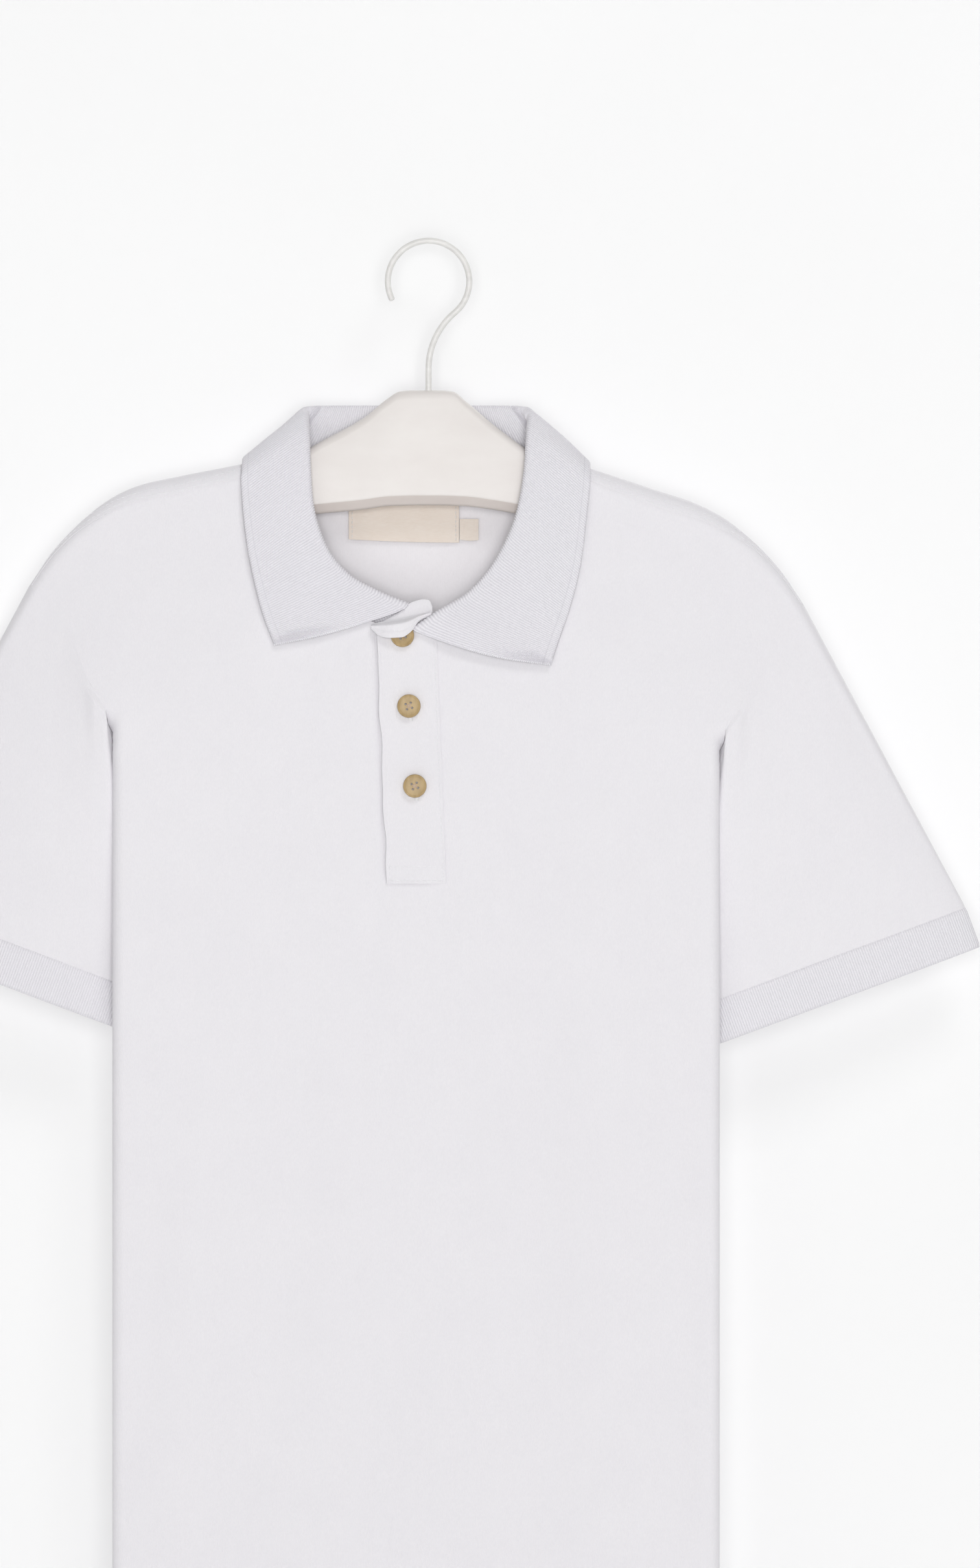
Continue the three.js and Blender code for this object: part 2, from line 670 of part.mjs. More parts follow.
function panel(face) {
  const rows = panelRows(face);
  const middle = (rows[0].length - 1) / 2;
  const neckColumn = PANEL_CELLS.slot + PANEL_CELLS.throat + PANEL_CELLS.neck;
  const hemRow = rows.length - 2;
  const raise = (j) => (j >= hemRow ? HEM_RISE : 0);
  const fromMiddle = (i) => (i >= middle ? i - middle : middle - 1 - i);
  if (face === "back") {
    const keep = (j, i) => j >= WRAP_ROWS.length || fromMiddle(i) >= neckColumn;
    return wall(rows, { thickness: JERSEY, flip: false, keep, raise });
  }
  const slotRow = TOP_ROWS.front.length + ARM_ROWS.length + BODY_ROWS.indexOf(SLOT_BOTTOM_DROP);
  const keep = (j, i) => j >= slotRow || fromMiddle(i) >= PANEL_CELLS.slot;
  return wall(rows, { thickness: JERSEY, flip: true, keep, raise });
}

// The ring of the armhole seam, a gap away from the body's edge, from the shoulder round the front
function armholeRing(side) {
  const edge = (face, drop) => {
    const reach = armholeReach(drop);
    const point = bodyPoint(face, side, reach, drop);
    const before = bodyPoint(face, side, reach - 0.5, drop);
    const heading = point.clone().sub(before).setZ(0).normalize();
    const facing = face === "front" ? -1 : 1;
    const folded = smooth(FOLD_STARTS, FOLD_STARTS + FOLD_RUN, drop);
    const inwardTurn = folded * FOLD_TURN > Math.PI / 2;
    const away = new THREE.Vector3();
    if (!inwardTurn) away.copy(heading);
    else if (reach < SIDE_REACH - NOSE_ARC - SEAM_TAIL) away.set(0, -facing, 0);
    else away.set(-heading.y * facing * side, heading.x * facing * side, 0);
    return point.addScaledVector(away, SEAM_GAP);
  };
  const levels = (face) => {
    const shoulder = shoulderDrop(face, SHOULDER_X);
    return [...TOP_ROWS[face].map((share) => mix(shoulder, REFERENCE_DROP, share)), ...ARM_ROWS];
  };
  const front = levels("front").map((drop) => edge("front", drop));
  const back = levels("back").map((drop) => edge("back", drop)).reverse();
  return [...front, edge("front", UNDERARM_DROP), ...back];
}

// A ring of the flattened sleeve tube across the line from an outer to an inner corner
function tubeRing(side, shares, outer, inner, halfDepthAcross) {
  return shares.map((share) => {
    const angle = 2 * Math.PI * share;
    const along = (1 - Math.cos(angle)) / 2;
    const x = mix(outer.x, inner.x, along);
    const drop = mix(outer.drop, inner.drop, along);
    return hang(side * x, -halfDepthAcross * Math.sin(angle), drop);
  });
}

// Where each point of the armhole ring lies round the sleeve. The stretch from the shoulder to the
// side fold takes what shows beside the body, and the stretch inside the fold takes the rest.
function ringShares(ring, underarm) {
  const lengths = [0];
  for (let k = 1; k < ring.length; k += 1) lengths.push(lengths[k - 1] + ring[k].distanceTo(ring[k - 1]));
  const inside = ARM_ROWS.length - ARM_ROWS.indexOf(FOLD_ROW);
  const stops = [
    { length: 0, share: 0 },
    { length: lengths[underarm - inside], share: FOLD_SHARE },
    { length: lengths[underarm], share: 0.5 },
    { length: lengths[underarm + inside], share: 1 - FOLD_SHARE },
    { length: lengths[ring.length - 1], share: 1 },
  ];
  return lengths.map((length) => {
    const next = Math.max(1, stops.findIndex((stop) => stop.length >= length));
    const [before, after] = [stops[next - 1], stops[next]];
    return mix(before.share, after.share, (length - before.length) / (after.length - before.length));
  });
}

function shifted(corner, along) {
  const width = Math.hypot(CUFF_OUTER.x - CUFF_INNER.x, CUFF_OUTER.drop - CUFF_INNER.drop);
  const acrossX = (CUFF_INNER.x - CUFF_OUTER.x) / width;
  const acrossDrop = (CUFF_INNER.drop - CUFF_OUTER.drop) / width;
  return { x: corner.x - acrossDrop * along, drop: corner.drop + acrossX * along };
}

function sleeveParts(side) {
  const ring = armholeRing(side);
  const underarm = TOP_ROWS.front.length + ARM_ROWS.length;
  const shares = ringShares(ring, underarm);
  const bandTop = [shifted(CUFF_OUTER, CUFF_BAND), shifted(CUFF_INNER, CUFF_BAND)];
  const end = tubeRing(side, shares, ...bandTop, CUFF_HALF_DEPTH);
  const rows = SLEEVE_ROWS.map((share) => ring.map((point, k) => point.clone().lerp(end[k], share)));
  const sleeve = wall(rows, { thickness: JERSEY, closed: true, flip: side < 0 });
  const cuffTop = [shifted(CUFF_OUTER, CUFF_BAND - SEAM_GAP), shifted(CUFF_INNER, CUFF_BAND - SEAM_GAP)];
  const bands = [cuffTop, [CUFF_OUTER, CUFF_INNER]].map((corners) => (
    tubeRing(side, shares, ...corners, CUFF_HALF_DEPTH)
  ));
  const cuff = wall(bands, { thickness: CUFF_THICKNESS, closed: true, flip: side < 0 });
  return { sleeve, cuff };
}

// The neck seam from the centre back over the shoulder to one front end
function neckSeam(side, seamEnd) {
  const sign = side > 0 ? 1 : -1;
  const stops = [
    ...BACK_SEAM_X.map((x) => ["back", x, read(BACK_NECK, "x", "drop", x)]),
    ["back", NECK_X, RIDGE[0].drop],
    ["front", NECK_X, RIDGE[0].drop + 2],
    ...FRONT_SEAM_X.map((x) => ["front", x, read(FRONT_NECK, "x", "drop", x)]),
    ["front", seamEnd.x, seamEnd.drop],
  ];
  const points = stops.map(([face, x, drop]) => {
    const facing = face === "front" ? -1 : 1;
    return hang(sign * x, facing * halfDepth(face, sign * x, drop), drop);
  });
  return new THREE.CatmullRomCurve3(points, false, "centripetal");
}

function outwardNormal(point) {
  const probe = 0.5;
  const x = point.x - SHIRT_X;
  const face = point.y > 0 ? "back" : "front";
  const drop = HANGER_TOP_Z - point.z;
  const sample = (dx, dd) => {
    const facing = face === "front" ? -1 : 1;
    return new THREE.Vector3(x + dx, facing * halfDepth(face, x + dx, drop + dd), -(drop + dd));
  };
  const du = sample(probe, 0).sub(sample(-probe, 0));
  const dv = sample(0, probe).sub(sample(0, -probe));
  const normal = du.cross(dv).normalize();
  const outward = face === "front" ? -1 : 1;
  return Math.sign(normal.y) === outward ? normal : normal.negate();
}

// A smooth row between the rows of the collar's table
function collarRow(table, at) {
  const row = {};
  for (const column of Object.keys(table[0])) row[column] = read(table, "seam", column, at);
  return row;
}

function collarSections(side, table, seamEnd, stations) {
  const seam = neckSeam(side, seamEnd);
  const sections = stations.map((at) => {
    const row = collarRow(table, at);
    const edge = seam.getPointAt(at);
    const along = seam.getTangentAt(at).multiplyScalar(side);
    const normal = outwardNormal(edge);
    const toNeck = along.clone().cross(normal).normalize();
    const start = edge.addScaledVector(toNeck, -row.tuck).addScaledVector(normal, -row.sink);
    const roll = hang(side * row.rollX, row.rollY, row.rollDrop);
    const end = hang(side * row.edgeX, row.edgeY, row.edgeDrop);
    return { start, roll, end, sag: row.sag };
  });
  return sections;
}

function collarProfile(section, tangent) {
  const { start, roll, end, sag } = section;
  const rising = roll.clone().sub(start).normalize();
  const falling = roll.clone().sub(end).normalize();
  const up = rising.add(falling).normalize();
  const out = up.clone().cross(tangent).normalize();
  const points = [start];
  const place = (u, m) => roll.clone().addScaledVector(up, u).addScaledVector(out, m);
  const standTop = place(-ROLL_RADIUS, -ROLL_RADIUS);
  points.push(start.clone().lerp(standTop, 0.5));
  for (const degrees of ROLL_DEGREES) {
    const angle = THREE.MathUtils.degToRad(degrees);
    points.push(place(ROLL_RADIUS * (Math.sin(angle) - 1), -ROLL_RADIUS * Math.cos(angle)));
  }
  const fallTop = points[points.length - 1];
  for (const share of FALL_SHARES) {
    const point = fallTop.clone().lerp(end, share);
    const bulge = 4 * share * (1 - share);
    point.addScaledVector(out, bulge);
    point.z -= sag * bulge;
    points.push(point);
  }
  return points;
}

function collar() {
  const left = collarSections(-1, [...COLLAR_BACK, ...COLLAR_LEFT], LEFT_SEAM_END, COLLAR_STATIONS);
  const right = collarSections(1, [...COLLAR_BACK, ...COLLAR_RIGHT], RIGHT_SEAM_END, COLLAR_STATIONS);
  const sections = [...left.reverse(), ...right.slice(1)];
  const rolls = new THREE.CatmullRomCurve3(sections.map((section) => section.roll), false, "centripetal");
  const columns = sections.map((section, k) => {
    const tangent = rolls.getTangent(k / (sections.length - 1));
    return collarProfile(section, tangent);
  });
  const rows = columns[0].map((_, j) => columns.map((column) => column[j]));
  return wall(rows, { thickness: RIB, flip: false });
}

function frontPoint(x, drop, out) {
  return hang(x, -halfDepth("front", x, drop) - out, drop);
}

function grid(columns, rows, place) {
  return rows.map((v) => columns.map((u) => place(u, v)));
}

function shares(count) {
  return Array.from({ length: count + 1 }, (_, k) => k / count);
}

// The lower placket fills the slash behind the upper one, and its top is the rounded neck tongue
function placketUnder() {
  const half = SLOT_HALF_WIDTH - SEAM_GAP;
  const columns = [0, 0.16, 0.32, 0.48, 0.6, 0.72, 0.85, 0.95, 1];
  const rows = [0, 0.04, 0.1, 0.25, 0.5, 0.75, 1];
  const points = grid(columns, rows, (u, v) => {
    const drop = mix(read(TONGUE_EDGE, "u", "drop", u), SLOT_BOTTOM_DROP - SEAM_GAP, v);
    return frontPoint(placketCentre(drop) + mix(-half, half, u), drop, 0);
  });
  return wall(points, { thickness: JERSEY, flip: true });
}

function placketTop() {
  const rows = [0, 0.06, 0.2, 0.4, 0.6, 0.8, 1];
  const points = grid(shares(6), rows, (u, v) => {
    const drop = mix(read(PLACKET_EDGE, "u", "drop", u), PLACKET_BOTTOM_DROP, v);
    const x = placketCentre(drop) + mix(-PLACKET_HALF_WIDTH, PLACKET_HALF_WIDTH, u);
    return frontPoint(x, drop, LAYER + JERSEY);
  });
  return wall(points, { thickness: JERSEY, flip: true });
}

// The turned neck edge of the upper placket rolls up off it and stands off the first button
function placketNeckFold() {
  const rows = [0, 0.18, 0.38, 0.65, 1];
  const layer = LAYER + JERSEY;
  const points = grid(shares(6), rows, (u, v) => {
    const at = (column) => read(NECK_FOLD, "u", column, u);
    const rolled = (at("stand") + layer) * smooth(0, NECK_FOLD_ROLL, v);
    return frontPoint(at("x"), mix(at("upper"), at("lower"), v), layer + rolled);
  });
  return wall(points, { thickness: JERSEY, flip: true });
}

function button({ x, drop }) {
  const half = BUTTON_THICKNESS / 2;
  const profile = BUTTON_SECTION.map(({ inset, height }) => (
    new THREE.Vector2(BUTTON_RADIUS - inset, height - half)
  ));
  const disc = new THREE.LatheGeometry(profile, 24);
  const holes = [0, 1, 2, 3].map((k) => {
    const angle = BUTTON_TURN + Math.PI / 4 + (k * Math.PI) / 2;
    const hole = new THREE.CylinderGeometry(BUTTON_HOLE / 2, BUTTON_HOLE / 2, 2 * BUTTON_THICKNESS, 8);
    hole.translate(BUTTON_HOLE_CIRCLE * Math.cos(angle), 0, BUTTON_HOLE_CIRCLE * Math.sin(angle));
    return hole;
  });
  const geometry = cut(disc, holes);
  const lean = frontPoint(x, drop + BUTTON_RADIUS, 0).y - frontPoint(x, drop - BUTTON_RADIUS, 0).y;
  geometry.rotateX(Math.PI + Math.atan2(lean, 2 * BUTTON_RADIUS));
  const centre = frontPoint(x, drop, 2 * LAYER + JERSEY + half);
  geometry.translate(centre.x, centre.y, centre.z);
  return geometry;
}

// A flat woven label on the inside of the back
function label({ left, right, top, bottom, tilt }) {
  const points = grid(shares(6), shares(2), (u, v) => {
    const x = mix(left, right, u);
    const drop = mix(top, bottom, v) + tilt * (x - left) * v;
    return hang(x, halfDepth("back", x, drop) - JERSEY - LAYER - SATIN, drop);
  });
  return wall(points, { thickness: SATIN, flip: true });
}

function hangerLift(x) {
  return hang(x - SHIRT_X, 0, 0).z - HANGER_TOP_Z;
}

function hangerBody() {
  const rings = HANGER.map(({ x, top, bottom, half }) => {
    const lift = x < LIFTED_ARM_X ? hangerLift(x) : 0;
    const upper = HANGER_TOP_Z - top + lift;
    const lower = HANGER_TOP_Z - bottom + lift;
    const bevel = Math.min(HANGER_BEVEL_HEIGHT, (upper - lower) / 3);
    const rim = Math.min(half, (upper - lower) / 3);
    const side = [];
    for (const degrees of HANGER_RIM_DEGREES) {
      const angle = THREE.MathUtils.degToRad(degrees);
      side.push([half * Math.cos(angle), upper - rim * (1 - Math.sin(angle))]);
    }
    side.push([half, lower + bevel]);
    side.push([half - HANGER_BEVEL_DEPTH, lower]);
    const mirrored = side.slice(1).reverse().map(([y, z]) => [-y, z]);
    return [...side, ...mirrored].map(([y, z]) => new THREE.Vector3(x, y, z));
  });
  const socket = new THREE.CylinderGeometry(
    WIRE_RADIUS + HOOK_CLEARANCE,
    WIRE_RADIUS + HOOK_CLEARANCE,
    2 * HOOK_SOCKET_DEPTH,
    12,
  );
  socket.rotateX(Math.PI / 2);
  socket.translate(0, 0, HANGER_TOP_Z);
  return cut(loft(rings.reverse()), [socket]);
}

// The hook: a straight stem, a bend to the right, and a loop over the rail
function hookPath() {
  const loopCentre = WIRE_RADIUS - LOOP_RADIUS;
  const start = new THREE.Vector2(
    LOOP_RADIUS * Math.cos(LOOP_START),
    loopCentre + LOOP_RADIUS * Math.sin(LOOP_START),
  );
  const bendAngle = -LOOP_START;
  const bendRadius = start.x / (1 - Math.cos(bendAngle));
  const stemTop = start.y - bendRadius * Math.sin(bendAngle);
  const points = [new THREE.Vector3(0, 0, HANGER_TOP_Z - HOOK_SOCKET_DEPTH + HOOK_CLEARANCE)];
  for (const share of shares(5)) {
    const angle = bendAngle * share;
    points.push(new THREE.Vector3(
      bendRadius * (1 - Math.cos(angle)),
      0,
      stemTop + bendRadius * Math.sin(angle),
    ));
  }
  for (const share of shares(20).slice(1)) {
    const angle = mix(LOOP_START, LOOP_END, share);
    points.push(new THREE.Vector3(
      LOOP_RADIUS * Math.cos(angle),
      0,
      loopCentre + LOOP_RADIUS * Math.sin(angle),
    ));
  }
  return points;
}

function hook() {
  const points = hookPath();
  const rings = [];
  const ringAt = (point, ahead, radius) => {
    const across = new THREE.Vector3(ahead.z, 0, -ahead.x);
    const depth = new THREE.Vector3(0, 1, 0);
    return shares(WIRE_SIDES).slice(0, -1).map((share) => {
      const angle = 2 * Math.PI * share;
      const ring = point.clone().addScaledVector(across, radius * Math.cos(angle));
      return ring.addScaledVector(depth, radius * Math.sin(angle));
    });
  };
  points.forEach((point, k) => {
    const before = points[Math.max(0, k - 1)];
    const after = points[Math.min(points.length - 1, k + 1)];
    const ahead = after.clone().sub(before).normalize();
    rings.push(ringAt(point, ahead, WIRE_RADIUS));
    if (k === points.length - 1) {
      const tip = point.clone().addScaledVector(ahead, WIRE_RADIUS * 0.7);
      rings.push(ringAt(tip, ahead, WIRE_RADIUS * 0.6));
    }
  });
  return loft(rings);
}

const group = new THREE.Group();

function add(name, geometry, color, roughness, metalness = 0) {
  const material = new THREE.MeshStandardMaterial({ color, roughness, metalness });
  const mesh = new THREE.Mesh(geometry, material);
  mesh.name = name;
  group.add(mesh);
}

add("front_panel", panel("front"), COLOURS.jersey, 0.9);
add("back_panel", panel("back"), COLOURS.jersey, 0.9);
for (const [name, side] of [["left", 1], ["right", -1]]) {
  const { sleeve, cuff } = sleeveParts(side);
  add(`sleeve_${name}`, sleeve, COLOURS.jersey, 0.9);
  add(`cuff_${name}`, cuff, COLOURS.rib, 0.92);
}
add("collar", collar(), COLOURS.rib, 0.92);
add("placket_under", placketUnder(), COLOURS.jersey, 0.9);
add("placket_top", placketTop(), COLOURS.jersey, 0.9);
add("placket_neck_fold", placketNeckFold(), COLOURS.jersey, 0.9);
BUTTONS.forEach((place, k) => add(`button_${k + 1}`, button(place), COLOURS.button, 0.35));
add("neck_label", label(LABEL), COLOURS.satin, 0.45);
add("size_tab", label(SIZE_TAB), COLOURS.satin, 0.45);
add("hanger", hangerBody(), COLOURS.hanger, 0.5);
add("hook", hook(), COLOURS.wire, 0.4, 0.2);

export default group;
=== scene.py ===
"""A short-sleeved polo shirt on its hanger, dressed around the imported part.

Lengths are in millimetres, in the shirt's own terms, until a mesh is made. A "drop" is a distance
below the top of the hanger, x runs from the shirt's centre line and y from the front to the back.
"""

from __future__ import annotations

import logging
import math
from dataclasses import dataclass, field
from enum import Enum
from typing import Callable, Sequence

import bpy
import numpy as np
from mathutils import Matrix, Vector


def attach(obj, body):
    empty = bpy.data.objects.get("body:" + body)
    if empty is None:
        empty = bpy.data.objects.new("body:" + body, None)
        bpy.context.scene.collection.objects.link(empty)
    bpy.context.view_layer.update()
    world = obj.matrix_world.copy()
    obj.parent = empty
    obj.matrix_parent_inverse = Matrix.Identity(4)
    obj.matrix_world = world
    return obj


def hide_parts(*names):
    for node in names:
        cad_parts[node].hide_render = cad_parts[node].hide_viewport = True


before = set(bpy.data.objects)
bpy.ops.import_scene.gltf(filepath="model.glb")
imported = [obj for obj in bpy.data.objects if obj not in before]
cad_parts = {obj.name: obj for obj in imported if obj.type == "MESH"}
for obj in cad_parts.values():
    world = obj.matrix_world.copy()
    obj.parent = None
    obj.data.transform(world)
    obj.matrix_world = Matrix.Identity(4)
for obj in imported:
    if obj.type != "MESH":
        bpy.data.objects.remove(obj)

log = logging.getLogger("polo_shirt")

MM = 0.001
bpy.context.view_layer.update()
BUTTON_PLACES = ((-6.7, 120.6), (-3.5, 155.2), (-0.6, 194.3))

Array = np.ndarray
Triple = tuple[float, float, float]
Colour = Triple
Socket = bpy.types.NodeSocket


# Small sums


def smooth(low: float, high: float, value: Array | float) -> Array:
    """A soft step from 0 at low to 1 at high."""
    share = np.clip((np.asarray(value, float) - low) / (high - low), 0.0, 1.0)
    return share * share * (3.0 - 2.0 * share)


def mix(start: Array | float, end: Array | float, share: Array | float) -> Array:
    """The value a share of the way from start to end."""
    return start + (end - start) * share


def bell(distance: Array | float, width: float) -> Array:
    """A soft bump of height 1 whose flanks reach about one width out."""
    return np.exp(-((np.asarray(distance, float) / width) ** 2))


def unit(vectors: Array) -> Array:
    """The vectors at length 1."""
    return vectors / np.maximum(np.linalg.norm(vectors, axis=-1, keepdims=True), 1e-9)


@dataclass(frozen=True)
class Curve:
    """A smooth reading between the rows of a short table, with no overshoot."""

    at: tuple[float, ...]
    value: tuple[float, ...]

    def __call__(self, where: Array | float) -> Array:
        """Reads the table.

        Args:
            where: Places in the table's first column.

        Returns:
            The second column there.
        """
        at, value = np.array(self.at, float), np.array(self.value, float)
        where = np.clip(np.asarray(where, float), at[0], at[-1])
        rate = np.diff(value) / np.diff(at)
        slope = np.concatenate([rate[:1], rate[1:], rate[-1:]])
        before, after = rate[:-1], rate[1:]
        total = np.where(before + after == 0, 1.0, before + after)
        slope[1:-1] = np.where(before * after <= 0, 0.0, 2 * before * after / total)
        row = np.clip(np.searchsorted(at, where, side="right") - 1, 0, len(at) - 2)
        span = at[row + 1] - at[row]
        t = (where - at[row]) / span
        first = (1 + 2 * t) * (1 - t) ** 2 * value[row] + t * (1 - t) ** 2 * span * slope[row]
        second = t * t * (3 - 2 * t) * value[row + 1] - t * t * (1 - t) * span * slope[row + 1]
        return first + second


def through(points: Array, per: int) -> Array:
    """A smooth line through points.

    Args:
        points: The points, first axis along the line. Further axes but the last run side by side.
        per: Steps between two points.

    Returns:
        The points of the line, with the ends included.
    """
    ends = np.concatenate([2 * points[:1] - points[1:2], points, 2 * points[-1:] - points[-2:-1]])
    gaps = np.maximum(np.linalg.norm(np.diff(ends, axis=0), axis=-1, keepdims=True), 1e-6) ** 0.5
    line = []
    for k in range(len(points) - 1):
        p0, p1, p2, p3 = ends[k : k + 4]
        d0, d1, d2 = gaps[k : k + 3]
        leave = d1 * ((p1 - p0) / d0 - (p2 - p0) / (d0 + d1) + (p2 - p1) / d1)
        reach = d1 * ((p2 - p1) / d1 - (p3 - p1) / (d1 + d2) + (p3 - p2) / d2)
        for t in np.arange(per) / per:
            line.append(
                p1 + leave * t
                + (3 * (p2 - p1) - 2 * leave - reach) * t**2
                + (2 * (p1 - p2) + leave + reach) * t**3
            )
    return np.array([*line, points[-1]])


def along(line: Array, shares: Array) -> Array:
    """Points at shares of a line's length.

    Args:
        line: Points of the line, in order.
        shares: Shares of its length, from 0 to 1.

    Returns:
        One point for each share.
    """
    steps = np.linalg.norm(np.diff(line, axis=0), axis=-1)
    length = np.concatenate([[0.0], np.cumsum(steps)])
    return np.stack([np.interp(shares * length[-1], length, line[:, k]) for k in range(3)], -1)


def length_of(line: Array) -> float:
    """The length of a line of points."""
    return float(np.linalg.norm(np.diff(line, axis=0), axis=-1).sum())


# The form that the shirt hangs in


class Face(Enum):
    """The two faces of the body. The value is the sign of y there."""

    FRONT = -1
    BACK = 1


class Side(Enum):
    """The wearer's two sides. The value is the sign of x there."""

    RIGHT = -1
    LEFT = 1


@dataclass(frozen=True)
class Drape:
    """A soft upright fold that stands out of the body from some height down."""

    x: float
    width: float
    rise: float
    start: float


@dataclass(frozen=True)
class Crease:
    """A soft ridge or trough of the cloth, by its middle, its slope and its sizes."""

    x: float
    drop: float
    slope: float
    length: float
    width: float
    rise: float

    def height(self, x: Array, drop: Array) -> Array:
        """How far the crease moves the cloth out at each place."""
        angle = math.radians(self.slope)
        run = (x - self.x) * math.sin(angle) + (drop - self.drop) * math.cos(angle)
        off = (x - self.x) * math.cos(angle) - (drop - self.drop) * math.sin(angle)
        off = off + 0.06 * self.length * np.sin(run / self.length * 2.2)
        ends = 1 - smooth(0.25 * self.length, 0.5 * self.length, np.abs(run))
        return self.rise * ends * bell(off, self.width)


@dataclass(frozen=True)
class Form:
    """The body's shape as it hangs: its shoulders, depth and folded sides."""

    shirt_x: float = -6.0
    hanger_top_z: float = -72.0
    left_lift: float = 9.0
    ridge_radius: float = 9.5
    depth_run: float = 130.0
    centre_depth: float = 17.0
    fold_depth: float = 24.0
    neck_ease: float = 4.0
    drape_run: float = 170.0
    fold_x: float = 148.6
    fold_radius: float = 6.0
    fold_starts: float = 164.0
    fold_run: float = 26.0
    gusset: float = 80.0
    nose_radius: float = 3.0
    tail: float = 0.9
    neck_x: float = 79.0
    shoulder_x: float = 190.0
    underarm_drop: float = 230.0
    hem_drop: float = 715.0
    ridge: Curve = Curve(
        (79, 98, 117, 136, 150, 164, 178, 190), (36.3, 42.5, 48.9, 55.2, 62.2, 73, 87.6, 105)
    )
    forward_seam: Curve = Curve((79, 120, 150, 170, 190), (6, 8.5, 6.5, 3, 1.5))
    front_neck: Curve = Curve(
        (0, 12, 24, 36, 48, 60, 69, 75, 79), (118.5, 117, 112.5, 106, 97, 84.5, 70, 56, 42.3)
    )
    back_neck: Curve = Curve((0, 40, 60, 72, 79), (43.5, 43, 41.8, 39.5, 36.3))
    drapes: dict[Face, tuple[Drape, ...]] = field(
        default_factory=lambda: {
            Face.FRONT: (Drape(-112, 20, 1.6, 250), Drape(-40, 26, 0.8, 330), Drape(86, 17, 1.3, 230)),
            Face.BACK: (Drape(-84, 22, 1.5, 240), Drape(8, 26, 1.0, 300), Drape(104, 18, 1.4, 260)),
        }
    )

    @property
    def turn_x(self) -> float:
        """Where the side fold starts."""
        return self.fold_x - self.fold_radius

    @property
    def fold_turn(self) -> float:
        """How far the cloth turns at a side fold, so that the gusset ends on the middle plane."""
        radii = self.fold_radius + self.nose_radius
        depth = float(self.full_depth(self.turn_x)) - self.fold_radius - self.tail
        return math.pi + math.atan2(radii, self.gusset) - math.asin(depth / math.hypot(radii, self.gusset))

    @property
    def nose_arc(self) -> float:
        """The length of cloth in the turn next to the side seam."""
        return self.nose_radius * (self.fold_turn - math.pi / 2)

    @property
    def side_reach(self) -> float:
        """The cloth from the centre line to the side seam."""
        return self.turn_x + self.fold_radius * self.fold_turn + self.gusset + self.nose_arc + self.tail

    def armhole(self, drop: Array | float) -> Array:
        """How far the cloth reaches from the centre line at each height."""
        rows = (105, 127, 152, 167, 176, 186, 200, 215, self.underarm_drop)
        reach = (self.shoulder_x, 171, 160, 151.4, 154.5, 171, 200, 227, self.side_reach)
        return Curve(rows, reach)(drop)

    def full_depth(self, x: Array | float) -> Array:
        """How far the cloth stands off the middle plane well below the shoulders."""
        share = (np.asarray(x) / self.fold_x) ** 2
        return self.centre_depth + (self.fold_depth - self.centre_depth) * share

    def hang(self, x: Array, y: Array, drop: Array) -> Array:
        """From the shirt's own x, y and drop to the place where it hangs."""
        x, y, drop = np.broadcast_arrays(np.asarray(x, float), y, drop)
        lift = self.left_lift * smooth(55, 150, -x) * (1 - smooth(250, 650, drop))
        return np.stack([x + self.shirt_x, y, self.hanger_top_z - drop + lift], -1)

    def half_depth(self, face: Face, x: Array | float, drop: Array | float) -> Array:
        """How far the cloth stands off the middle plane, before its sides fold in."""
        x = np.asarray(x, float)
        across = np.abs(x)
        below = np.maximum(0.0, drop - self.ridge(across))
        turned = np.sqrt(1 - (1 - np.clip(below / self.ridge_radius, 0, 1)) ** 2)
        spread = (self.full_depth(across) - self.ridge_radius) * smooth(0, self.depth_run, below)
        ease = 0.0
        if face is Face.BACK:
            ease = self.neck_ease * np.maximum(0, 1 - (across / self.neck_x) ** 2)
        folds = sum(
            d.rise * bell(x - d.x, d.width) * smooth(d.start, d.start + self.drape_run, drop)
            for d in self.drapes[face]
        )
        folds = folds * (1 - smooth(118, 138, across))
        return self.ridge_radius * turned + spread + ease * turned * (1 - smooth(90, 220, drop)) + folds

    def point(self, face: Face, side: int, reach: Array, drop: Array) -> Array:
        """A point of the body's outer face.

        Args:
            face: Front or back.
            side: The sign of x.
            reach: The length of cloth from the centre line.
            drop: The height.

        Returns:
            The place where it hangs.
        """
        reach, drop = np.broadcast_arrays(np.asarray(reach, float), drop)
        folded = smooth(self.fold_starts, self.fold_starts + self.fold_run, drop)
        turn = self.fold_turn * folded
        past = np.maximum(0.0, reach - self.turn_x)
        arc = np.minimum(past, self.fold_radius * turn)
        angle = arc / self.fold_radius
        straight = np.minimum(past - arc, mix(self.side_reach, self.gusset, folded))
        beyond = past - arc - straight
        nose = np.minimum(beyond, self.nose_arc) / self.nose_radius
        tail = np.maximum(0.0, beyond - self.nose_arc)
        x = np.minimum(reach, self.turn_x) + self.fold_radius * np.sin(angle) + straight * np.cos(turn)
        x = x - self.nose_radius * (np.sin(turn - nose) - np.sin(turn))
        inward = self.fold_radius * (1 - np.cos(angle)) + straight * np.sin(turn)
        inward = inward + self.nose_radius * (np.cos(turn - nose) - np.cos(turn)) + tail
        flat = np.where(past > 0, mix(reach, self.turn_x, folded), reach)
        depth = np.maximum(0.0, self.half_depth(face, side * flat, drop) - inward)
        return self.hang(side * x, face.value * depth, drop)

    def outward(self, face: Face, x: Array, drop: Array) -> Array:
        """The direction out of the body's face at each place."""
        step = 0.5
        ahead = self.half_depth(face, x + step, drop) - self.half_depth(face, x - step, drop)
        down = self.half_depth(face, x, drop + step) - self.half_depth(face, x, drop - step)
        normal = np.stack([-ahead, np.full_like(ahead, 2 * step), down], -1)
        normal[..., 1] *= face.value
        return unit(normal)

